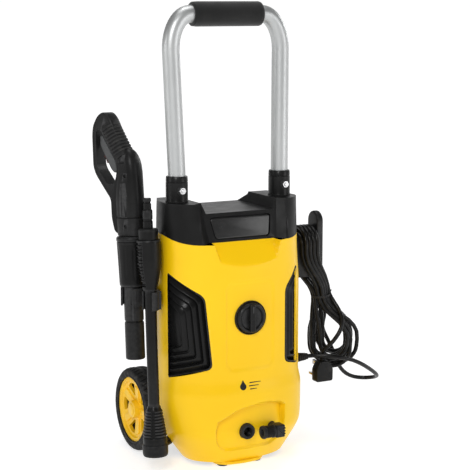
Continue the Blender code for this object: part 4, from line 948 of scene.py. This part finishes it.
def panel_outline(grow):
    corners = [(-47 - grow, 6.5 - grow), (47 + grow, 6.5 - grow), (53.5 + grow, 39.5 + grow),
               (-53.5 - grow, 39.5 + grow)]
    return fillet(corners, 5.5 + grow, 6)


def top_cover():
    levels = [COVER_LOW + (TOWER_Z - COVER_LOW) * i / 6 for i in range(7)]
    base = Shape().add(*skin([cover_row(z) for z in levels]))
    channel = [(-60, DECK_Z), (60, DECK_Z), (67, TOWER_Z + 0.5), (67, 450), (-67, 450), (-67, TOWER_Z + 0.5)]
    cutters = [slab(channel, -140, 140, ALONG_Y)]
    slope = [(30, 470), (30, TOWER_Z - 4), (112, 384), (140, 384), (140, 470)]
    cutters.append(slab(slope, -130, 130, ALONG_X))
    for sign in (-1, 1):
        leg = Matrix.Translation((sign * LEG_X, LEG_Y, 0))
        cutters.append(turned(leg, [(14.7, 400), (14.7, 460)], 48))
    cutters.append(slab(panel_outline(1.9), -3, 12, ON_FRONT))
    mesh = boolean(base, cutters, angle=30)
    piece = link("cover", mesh, BLACK, "top_cover")
    soften(piece, 2.4, 4, 24)
    link("cover_inset", plate(ON_FRONT, panel_outline(0), -3.2, 0.1, 1.3, 5), PANEL, "top_panel")


def handle_y(z):
    """The legs lean back a little above the collars."""
    return LEG_Y + max(0, z - 473) * 0.038


def handle():
    right = [(LEG_X, LEG_Y, 388), (LEG_X, LEG_Y, 430), (LEG_X, LEG_Y, 468), (LEG_X + 0.1, LEG_Y, 478)]
    right += [(LEG_X + 4.8 * (z - 473) / 175, handle_y(z), z) for z in (520, 580, 630, 648)]
    for i in range(13):
        angle = math.pi / 2 * i / 12
        z = BOW_TOP - 55 + 55 * math.sin(angle)
        right.append((64 + 33.9 * math.cos(angle), handle_y(z), z))
    path = right + [(30, handle_y(BOW_TOP), BOW_TOP)]
    path += [(-x, y, z) for x, y, z in reversed(path)]
    link("handle_bow", Shape().add(*sweep(path, HANDLE_RADIUS, 48)), SILVER, "handle_tube", angle=50)

    profile = [(14.3, 61.5), (16, 61.5), (17.8, 60.9), (19, 59.6), (19.7, 57.4)]
    profile += [(19.7, 57.4 - 3.8 * i) for i in range(1, 30)]
    profile += [(19, -59.6), (17.8, -60.9), (16, -61.5), (14.3, -61.5)]

    def pinched(angle, radius, height):
        return radius - (0.25 * math.exp(-((math.degrees(angle) - 200) / 2) ** 2) if radius > 19 else 0)

    at = quarter("Y", (0, handle_y(BOW_TOP), BOW_TOP))
    grip = turned(at, profile, 96, ring=True, wave=pinched)
    link("foam_sleeve", grip, FOAM, "handle_grip")

    for label, sign in (("left", -1), ("right", 1)):
        at = Matrix.Translation((sign * LEG_X, LEG_Y, 0))
        low = TOWER_Z + 0.3
        profile = [(14.4, 471), (16, 471), (16.8, 470.7), (17.2, 470), (17.6, 463.4), (17.7, 462.8),
                   (17.1, 462.2), (17.1, 461.6), (17.7, 461), (17.7, low + 3.4), (18, low + 2.4),
                   (18.3, low + 1), (18.1, low), (14.4, low)]
        collar = turned(at, profile, 72, ring=True)
        face = 17.7
        boss = [(0, face - 3), (7.4, face - 3), (7.4, face + 0.1), (6.9, face + 0.55), (0, face + 0.55)]
        toward = quarter("X", (sign * LEG_X, LEG_Y, 449))
        collar.add(*lathe(boss, 40), toward)
        link("leg_collar_" + label, collar, TRIM, "collar_" + label)

        def hexed(angle, radius, height):
            sector = angle % (math.pi / 3) - math.pi / 6
            return min(radius, 4.9 / math.cos(sector)) if radius > 4 else radius

        nut = [(0, 16), (5.6, 16), (5.6, face + 4.2), (5.05, face + 4.75), (3.1, face + 4.75),
               (3, face + 6), (2.6, face + 6.7), (0, face + 6.7)]
        head = [(0, -face - 0.3), (5, -face - 0.3), (5, -face - 1.2), (4.4, -face - 3),
                (2.8, -face - 4.1), (0, -face - 4.2)]
        bolt = turned(toward, nut, 60, wave=hexed).add(*lathe(head, 40), toward)
        link("leg_bolt_" + label, bolt, STEEL, "handle_bolt_" + label)


# ---- wheels --------------------------------------------------------------------------------------------
def wheel(label, sign):
    at = quarter("Y", (sign * 109, WHEEL_Y, WHEEL_Z), sign)
    half = [(54.3, 18.5), (56, 18.5), (57, 17.9), (58, 17.9), (59, 18.5), (62.6, 18.5), (64.2, 18.2),
            (66, 17.2), (67.6, 15.6), (68.2, 14.2), (69, 12.6), (69.4, 10.5), (69.5, 7), (69.5, 3.6),
            (68.3, 2.9), (68.3, 0)]
    profile = half + [(r, -h) for r, h in reversed(half[:-1])]

    def tread(angle, radius, height):
        if radius < 66.5:
            return radius
        share = (angle * 48 / TAU + 0.25 * (height > 0) + 0.02 * abs(height)) % 1
        return radius - (1.5 if share < 0.2 and abs(height) > 3.8 else 0)

    tyre = turned(at, profile, 480, ring=True, wave=tread)
    link("tyre_fine_" + label, tyre, TYRE, "tyre_" + label, body="wheel_" + label, angle=24)

    profile = [(5.4, 17.5), (12.8, 17.5), (13.8, 17), (14.2, 15.6), (15.4, 7.2), (17, 6.4), (45, 11.6),
               (46.6, 12.4), (47.6, 14.4), (48.6, 15.5), (50.4, 15.5), (51, 14.9), (52.2, 14.9),
               (52.8, 15.5), (54, 15.2), (54, -15.5), (50, -15.5), (46, 6.5), (15, -1),
               (14, -17.5), (5.4, -17.5)]
    rim = turned(None, profile, 120, ring=True)
    windows = []
    for index in range(5):
        turn = Matrix.Rotation(TAU * (index + 0.25) / 5, 4, "Z")
        outline = fillet([(22.5, -1.8), (41, -12.2), (44.4, 0), (41, 12.2), (22.5, 1.8)],
                         [1.5, 3, 14, 3, 1.5], 5)
        windows.append(slab(outline, -40, 40, turn))
    mesh = boolean(rim, windows, angle=30)
    mesh.transform(PLACE_INVERSE)
    mesh.transform(in_world(at))
    piece = link("hub_fine_" + label, mesh, HUB_YELLOW, "hub_" + label, body="wheel_" + label)
    soften(piece, 0.9, 3, 40)

    # Near-black ring behind the hub's windows: painted shade, so the windows look dark inside.
    shade_ring = [(14.4, 3.4), (49.6, 3.4), (49.6, -2), (14.4, -2)]
    link("hub_web_" + label, turned(at, shade_ring, 72, ring=True), DARK, body="wheel_" + label)

    ribs = Shape()
    for index in range(5):
        turn = Matrix.Rotation(TAU * (index + 0.75) / 5, 4, "Z")
        lift = Matrix.Rotation(-math.atan(5.2 / 28), 4, "Y") @ Matrix.Translation((0, 0, 4))
        outline = fillet([(15, -4.2), (43.5, -6.4), (43.5, 6.4), (15, 4.2)], 2.6, 4)
        ribs.add(*prism(outline, -4, 1.9, 1.2, 3), at @ turn @ lift)
    link("hub_ribs_" + label, ribs, HUB_YELLOW, body="wheel_" + label)

    cap = [(0, 20), (5, 19.9), (8.2, 19.5), (9.9, 18.7), (10.4, 17.9), (10.4, 17.7), (0, 17.7)]
    link("cap_fine_" + label, turned(at, cap, 48), HUB_YELLOW, "axle_cap_" + label, body="wheel_" + label)


def in_world(matrix):
    """The machine-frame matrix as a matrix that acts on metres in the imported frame."""
    shift = Matrix.Translation((OX * MM, OY * MM, 0))
    scale = Matrix.Diagonal((MM, MM, MM, 1))
    return shift @ scale @ matrix


PLACE_INVERSE = in_world(Matrix.Identity(4)).inverted()


# ---- switch and water connections -------------------------------------------------------------------------
def switch():
    at = quarter("X", (0, -102, SWITCH_Z))
    bezel = [(25.9, -0.6), (26.2, 0.7), (26.7, 1.2), (27.2, 0.7), (27.3, -0.4), (27.3, -7), (8, -7),
             (8, -4.6), (25.9, -4.6)]
    link("switch_ring", turned(at, bezel, 96, ring=True), TRIM, "switch_bezel")
    disc = [(0, 2.6), (17, 2.7), (18.2, 3), (19.2, 4.6), (20.2, 5.3), (22.4, 5.2), (23.8, 4.2),
            (24.6, 2.6), (25, 1.2), (25, -4), (0, -4)]
    knob = turned(at, disc, 96)
    knob.add(*prism(fillet(box(-4.8, -22, 4.8, 22), 3, 6), 1, 9.6, 2, 5), at)
    knob.add(*lathe([(0, -3), (4, -3), (4, -13), (0, -13)], 24), at)
    link("switch_dial", knob, TRIM, "switch_knob", body="switch_knob")
    mark = fillet(box(-0.9, 9, 0.9, 19), 0.8, 4)
    link("switch_pointer", plate(at, mark, 9, 9.9, 0.3, 2), PANEL, body="switch_knob")


def ports():
    at = quarter("X", (OUTLET_X, -99.6, PORT_Z))
    profile = [(7.3, 1.6), (7.9, 2.6), (10.9, 3.2), (11.8, 2.8), (12.4, 1.8), (12.4, -22), (7.3, -22),
               (7.3, -14)]
    for i in range(7):
        z = 1.7 * i - 11
        profile += [(7.3, z - 0.5), (8, z + 0.2), (7.3, z + 0.9)]
    link("outlet_socket", turned(at, profile, 72, ring=True), BLACK, "outlet_port")
    core = [(0, -15), (7.2, -15), (3.4, -13), (3.4, -6), (2.8, -5.2), (0, -5.2)]
    link("outlet_core", turned(at, core, 40), DARK)

    at = quarter("X", (INLET_X, 0, PORT_Z))
    elbow = plate(at, fillet(box(-8.6, -10.2, 7.4, 10.2), 2.2, 5), 104.8, 124, 1.8, 4)
    for middle in (-4.5, 0, 4.5):
        rib = fillet(box(3, middle - 1.1, 7.9, middle + 1.1), 0.4, 2)
        elbow.add(*prism(rib, 107, 124.6, 0.5, 2), at)
    link("inlet_block", elbow, BLACK, "inlet_elbow", body="inlet_swivel")
    at = quarter("Y", (INLET_X - 9, -115.5, PORT_Z), -1)
    collar = [(5.3, 20.4), (6.2, 21.6), (9.2, 22), (10.2, 21.4), (10.8, 20), (10.9, 17.4), (10.1, 16.6),
              (10, 15.6), (10, 5), (10.2, 4), (10.9, 3.2), (10.9, 1.2), (10.3, 0.4), (5.3, 0.4)]

    def knurled(angle, radius, height):
        return radius - (0.55 * (0.5 + 0.5 * math.cos(24 * angle)) ** 2 if radius > 9.9 and 4 < height < 17
                         else 0)

    link("inlet_ring", turned(at, collar, 144, ring=True, wave=knurled), BLACK, "inlet_collar",
         body="inlet_nut")


def foot():
    ring = [(x, y) for x, y, _ in front_row(8, 40, 3.4, False)]
    rear = [(68, 7.4), (60.5, 14), (60, 28), (58.5, 50), (50, 74), (30, 81)]
    outline = ring + rear + [(-x, y) for x, y in reversed(rear)]
    link("floor_plate", plate(None, outline, 8, 11.6, 0.6, 2), BLACK, "base_plate")
    outline = fillet([(-44, -64), (-30, -77), (0, -81), (30, -77), (44, -64), (44, -50), (-44, -50)],
                     [6, 8, 14, 8, 6, 3, 3], 5)
    link("foot_bar", plate(None, outline, 3.3, 7.9, 1.4, 4), YELLOW, "front_foot")
    for label, x in (("left", -30), ("right", 30)):
        profile = [(0, 0), (7.4, 0), (8.4, 0.4), (9, 1.2), (9.8, 3), (0, 3)]
        link("foot_rubber_" + label, turned(Matrix.Translation((x, -62, 0)), profile, 48), RUBBER,
             "foot_pad_" + label)


def droplet_mark():
    """Small printed sign for water: a drop with three spray lines beside it."""
    shape = Shape()
    drop = []
    for i in range(28):
        angle = TAU * i / 28
        reach = 5.6 + 4.6 * max(0, math.sin(angle)) ** 9
        drop.append((-14 + 5.6 * math.cos(angle) * (1 - 0.25 * max(0, math.sin(angle)) ** 2),
                     138 + reach * math.sin(angle)))
    lines = [drop]
    for index in range(3):
        z, start, end = 143 - 5 * index, -3.5 + 1.2 * abs(index - 1), 18 - 4 * index
        lines.append(fillet([(start, z - 0.9), (end, z - 0.5), (end, z + 0.5), (start, z + 0.9)], 0.5, 3))
    for outline in lines:
        rows = []
        for lift in (0.3, -0.22):
            rows.append([(p[0], relief(p[0], front_edge_y(p[0], plan_growth(p[1])), p[1]) + lift, p[1])
                         for p in outline])
        shape.add(*skin(rows))
    link("water_sign", shape, TRIM)


# ---- gun and lance on the left -----------------------------------------------------------------------------
def tilted(at, spin=0):
    return Matrix.Translation(at) @ Matrix.Rotation(-TILT, 4, "X") @ Matrix.Rotation(spin, 4, "Z")


OVAL_STEPS = 56


def oval_rows(levels):
    """Rows of a tall body: each level is (height, low x, high x, half thickness)."""
    rows = []
    for height, low, high, half in levels:
        row = []
        for i in range(OVAL_STEPS):
            angle = TAU * i / OVAL_STEPS
            row.append(((low + high) / 2 + (high - low) / 2 * squared(math.cos(angle), 1 / 1.3),
                        half * squared(math.sin(angle), 1 / 1.3), height))
        rows.append(row)
    return rows


def gun():
    at, spun = tilted(GUN_AT), tilted(GUN_AT, GUN_SPIN)
    housing = [(99.8, -20.5, 20.5, 15.5), (100.6, -21.4, 21.4, 16.4), (103, -22, 22, 17),
               (128, -22.6, 22.4, 17.4), (129, -22, 21.8, 16.8), (130.4, -22, 21.8, 16.8),
               (131.4, -22.8, 22.5, 17.4), (158, -23.5, 22.9, 17.6), (185, -21.5, 22, 17.4),
               (200, -18.4, 21.2, 17.6), (212, -16.6, 19.6, 17.2), (220, -14.8, 17.6, 16),
               (227, -12.6, 14.6, 13.8), (232, -10.4, 11.6, 11.4), (235.6, -7.8, 8.2, 8.6),
               (237.8, -5, 5, 5.6), (238.8, -2, 1.8, 2.4)]
    guard = [(10, 120), (10, 150), (8, 196), (2, 222), (-4, 236), (-6, 248),
             (-14, 262.5), (-25.5, 287), (-34, 295.5), (-43, 296), (-52, 290), (-60.5, 276),
             (-63, 262), (-63, 210), (-58.5, 197), (-38, 168), (-30.5, 158), (-30, 128),
             (-25, 106), (-14, 101), (4, 101)]
    loop = [(-33, 180), (-24, 181), (-18, 190), (-15, 206), (-18, 221), (-44, 267),
            (-48, 270), (-52, 268), (-54, 262), (-54, 213), (-51, 205)]
    flat = spun @ ALONG_Y
    pocket = [(-36, 236), (-22, 236), (-34, 268.5), (-43, 268.5)]
    holes = [slab(fillet(loop, 5, 4), -30, 30, flat), slab(pocket, -8.4, 8.4, flat)]
    mesh = boolean(plate(flat, fillet(guard, 7, 4), -12.4, 12.4, 3.4, 5), holes, angle=30)
    piece = link("gun_guard", mesh, GUN_BLACK, "gun_body", body="gun")
    soften(piece, 1.6, 3, 40)

    shell = Shape().add(*skin(oval_rows(housing)), spun)
    cuts, screws = [], Shape()
    screw = [(0, 14), (2.8, 14), (2.8, 15.2), (2.2, 15.9), (1, 16.1), (0.8, 15.6), (0, 15.6)]
    for x, h in ((2, 116), (4, 196)):
        for side in (-1, 1):
            cross = spun @ quarter("X", (x, 0, h), side)
            cuts.append(turned(cross, [(3.1, 14.5), (3.1, 30)], 32))
            screws.add(*lathe(screw, 24), cross)
    square, plaque = fillet(box(-7.4, -7.4, 7.4, 7.4), 2.2, 4), fillet(box(-5, 130, 5, 180), 2.6, 4)
    for side in (-1, 1):
        cuts.append(slab(square, 13, 30, spun @ quarter("X", (-4, 0, 222), side)))
    for side in (-1, 1):
        upright = quarter("X", (0, 0, 0), side) @ Matrix.Diagonal((1, side, 1, 1))
        cuts.append(slab(plaque, 16.7, 30, spun @ upright))
    piece = link("gun_housing", boolean(shell, cuts, angle=30), GUN_BLACK, body="gun")
    soften(piece, 0.7, 3, 40)
    link("gun_screws", screws, TRIM, body="gun")

    start, end = Vector((-35, 275.5)), Vector((-7, 226))
    along = (end - start).normalized()
    across = Vector((along.y, -along.x))

    def grip_ring(middle, wide, thick, shift):
        row = []
        for k in range(OVAL_STEPS):
            angle = TAU * k / OVAL_STEPS
            p = middle - across * wide * squared(math.cos(angle), 0.75) + along * shift
            row.append((p.x, thick * squared(math.sin(angle), 0.75), p.y))
        return row

    rows = []
    length = (end - start).length
    for shift, part in ((-5.5, 0.35), (-4.2, 0.66), (-2, 0.88), (1, 0.98)):
        rows.append(grip_ring(start, 12.6 * part, 15.2 * part, shift))
    for index in range(9):
        at_mm = 3 + 5.5 * index
        for shift, swell in ((0, 0), (0.5, 1), (1.3, 1.5), (3, 1.5), (3.8, 1), (4.3, 0)):
            rows.append(grip_ring(start, 12.6 + swell, 15 + swell, at_mm + shift))
    rows.append(grip_ring(start, 12.4, 14.8, length))
    ribs = Shape().add(*skin(rows), spun)
    channel = [(-41.5, 270.7), (-60.6, 259.9), (-30.6, 206.8), (-11.5, 217.6)]
    mesh = boolean(ribs, [slab(channel, -8.6, 8.6, flat)])
    link("gun_grip_rings", mesh, RUBBER, "gun_grip_pad", body="gun")

    lever = [(-17, 203), (-19.4, 215), (-45.5, 259.5), (-50, 258.5), (-50.5, 244), (-41, 226),
             (-30, 205), (-23.5, 199)]
    trigger = plate(flat, fillet(lever, 3.5, 5), -7.5, 7.5, 2.2, 4)
    notch = [(-33, 208), (-36.5, 228.5), (-50, 232), (-42, 204)]
    mesh = boolean(trigger, [slab(notch, -3.6, 3.6, flat)])
    link("trigger_lever", mesh, TRIGGER_GREY, "gun_trigger", body="trigger")
    tab = [(-2, 1.2), (-2.4, -1.2), (0.6, -2.4), (3.2, -11), (5.6, -11.4), (4.4, -1)]
    tab = [(x - 43.6, h + 226) for x, h in tab]
    link("lock_tab", plate(flat, fillet(tab, 0.8, 3), -3.2, 3.2, 0.5, 3), RED, "trigger_lock",
         body="trigger_lock")

    sleeve = [(12.6, 99.2), (21.4, 99.2), (22.6, 98.8), (24, 97.2), (24.3, 95.6), (24.3, 92.6),
              (23.9, 91.8), (23.2, 91.4), (23.2, 90.6), (23.8, 90), (22.9, 68), (22, 44),
              (21.4, 24), (21, 21), (20, 19.6), (12.6, 19.4)]

    def flutes(angle, radius, height):
        if 30 < height < 86 and radius > 20:
            fade = ease(30, 36, height) * (1 - ease(80, 86, height))
            return radius - 0.5 * fade * max(0, math.cos(10 * angle)) ** 2
        return radius

    dense = divided(sleeve, lambda a, b: max(1, int(abs(a[1] - b[1]) / 3)) if min(a[0], b[0]) > 15 else 1)
    link("gun_neck", turned(at, dense, 120, ring=True, wave=flutes), GUN_BLACK, "gun_sleeve", body="gun")
    barrel = [(0, 98.9), (12, 98.9), (12, 19.1), (14.6, 19.1), (15.5, 18.2), (15.5, -34), (15.2, -36),
              (14.2, -36.4), (14.2, -38.6), (15.2, -39), (15.6, -41), (15.6, -96.4), (15.2, -98),
              (14.2, -98.9), (11.4, -99), (10.5, -98), (10.4, -48), (0, -48)]
    drill = Matrix.Translation((0, 0, -9)) @ Matrix.Rotation(math.radians(-30), 4, "Z")
    hole = turned(at @ drill @ quarter("X", (0, 0, 0)), [(2.7, 9.8), (2.7, 30)], 32)
    link("gun_tube", boolean(turned(at, barrel, 72), [hole]), GUN_BLACK, "gun_barrel", body="gun")


def away_from(degrees, angle):
    """How far round, in radians either way, an angle is from a direction."""
    return abs((angle - math.radians(degrees) + math.pi) % TAU - math.pi)


def lance():
    at = tilted(LANCE_AT)
    grip = [(0, 209), (5.2, 209), (5.9, 208.4), (6.2, 207.4), (6.2, 203.6), (5.2, 203), (5.2, 200.6),
            (6.2, 200), (6.2, 191), (7.6, 189.6), (7.8, 188.6), (7.8, 176), (7, 175.4), (7, 172.6),
            (7.8, 172), (7.8, 161.4), (12.6, 161.2), (14.6, 160.4), (15.6, 158.6), (15.6, 145),
            (16.6, 143.8), (18.6, 143), (19.2, 141.4)]
    edge = [(19.4, 140), (19.4, 112), (18.6, 100), (15.5, 84), (12.4, 70)]
    grip += divided(edge, lambda a, b: round(a[1] - b[1]))[:-1]
    grip += [(12, 69), (11.4, 65), (10.9, 63.4), (9, 63), (0, 63)]

    def toothed(angle, radius, height):
        """Teeth on the outer side only; the rest of the body is smooth."""
        if not 70.5 < height < 141:
            return radius
        sector = 1 - ease(0.62, 0.72, away_from(172, angle))
        tooth = 1 - ease(0.3, 0.42, abs((height / 5.6) % 1 - 0.5))
        return radius - sector * (0.4 + 2 * tooth)

    link("lance_handle", turned(at, grip, 120, wave=toothed), GUN_BLACK, "lance_grip", body="lance",
         angle=26)
    rod = [(0, 90), (9, 90), (9, 60), (9.35, 58), (9.35, 55), (9, 53), (9, -116),
           (9, -140), (0, -140)]
    link("lance_rod", turned(at, rod, 48), GUN_BLACK, "lance_tube", body="lance")

    head = [(9.2, -121), (9.8, -121.2), (10.6, -123.4), (11.6, -127)]
    for step in range(9):
        top, reach = -128 - 4.8 * step, 12.2 + 0.72 * step
        head += [(reach, top), (reach + 0.9, top - 0.5), (reach + 1.2, top - 2.2), (reach + 1, top - 2.9),
                 (reach - 0.5, top - 3.3), (reach - 0.4, top - 4.6)]
    head += [(18.4, -171.5), (18.8, -172.4), (19, -174), (19.2, -196), (18.6, -198.6), (17, -199.4),
             (9.2, -199.4)]

    def striped(angle, radius, height):
        if -171 < height < -126:
            band = 1 - ease(0.16, 0.22, away_from(236, angle))
            return radius * (1 - band) + band * (13 - (height + 128) * 0.15)
        return radius

    link("lance_head", turned(at, head, 160, ring=True, wave=striped), GUN_BLACK, "lance_nozzle",
         body="nozzle", angle=26)
    cup = [(0, -202.5), (16, -202.5), (18.6, -201.8), (19.8, -200), (20.4, -197), (20.5, -184),
           (20.2, -183.2), (19.5, -183.2), (19.4, -184), (19.3, -199.6), (0, -199.8)]
    seat = turned(at, cup, 96)
    start = (LANCE_AT[0] + 14, LANCE_AT[1] - 195 * math.sin(TILT) + 13, 33)
    seat.add(*sweep([start, (-112, -16, 33), (-96, -4, 33)], 4.2, 20))
    seat.add(*sweep([start, (-112, -16, 38), (-97, -4, 42)], 3.2, 20))
    link("lance_seat", seat, BLACK, "lance_cup")


# ---- lead hook on the right -----------------------------------------------------------------------------
def hook():
    def outline(low, high, half):
        arc = [(math.cos(math.pi * i / 20), math.sin(math.pi * i / 20)) for i in range(21)]
        round_top = [(8 + half * c, high - half + half * s) for c, s in arc]
        return [(8 - half, low), (8 + half, low)] + round_top

    arm = plate(ALONG_X, outline(284, 356, 17), 100, 184, 1.5, 3)
    mesh = boolean(arm, [plate(ALONG_X, box(-5, 270, 21, 336), 120, 174, 1, 2)])
    piece = link("hook_arm", mesh, GUN_BLACK, "cord_hook")
    soften(piece, 1.2, 3, 40)
    tongue = plate(ALONG_X, outline(300, 393, 17), 178.2, 190, 3.4, 6)
    tongue.add(*prism([(8 + (y - 8) * 0.62, 346 + (z - 346) * 0.8) for y, z in outline(312, 384, 15)],
                      188, 190.8, 0.8, 2), ALONG_X)
    link("hook_tongue", tongue, GUN_BLACK)


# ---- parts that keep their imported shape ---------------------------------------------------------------
def finish_nodes():
    kept = {
        BLACK: ("accessory_clip", "inlet_spigot"),
        STEEL: ("axle", "outlet_pipe", "piston_1", "piston_2", "piston_3"),
        RUBBER: ("inlet_hose",),
        CAST: ("pump_head", "pump_housing", "wobble_plate", "pump_mount"),
        IRON: ("motor_stator", "motor_rotor"),
        DARK: ("switch_body", "cooling_fan"),
    }
    chosen = {name: material for material, names in kept.items() for name in names}
    for name in sorted(FRAME_NODES):
        for slot in bpy.data.objects[name].material_slots:
            slot.material = chosen.get(name, BLACK)


top_cover()
handle()
for wheel_label, wheel_sign in (("left", -1), ("right", 1)):
    wheel(wheel_label, wheel_sign)
switch()
ports()
foot()
droplet_mark()
gun()
lance()
hook()
finish_nodes()
front_shell()
for side_label in GRILLES:
    grille(side_label)
rear_shell()
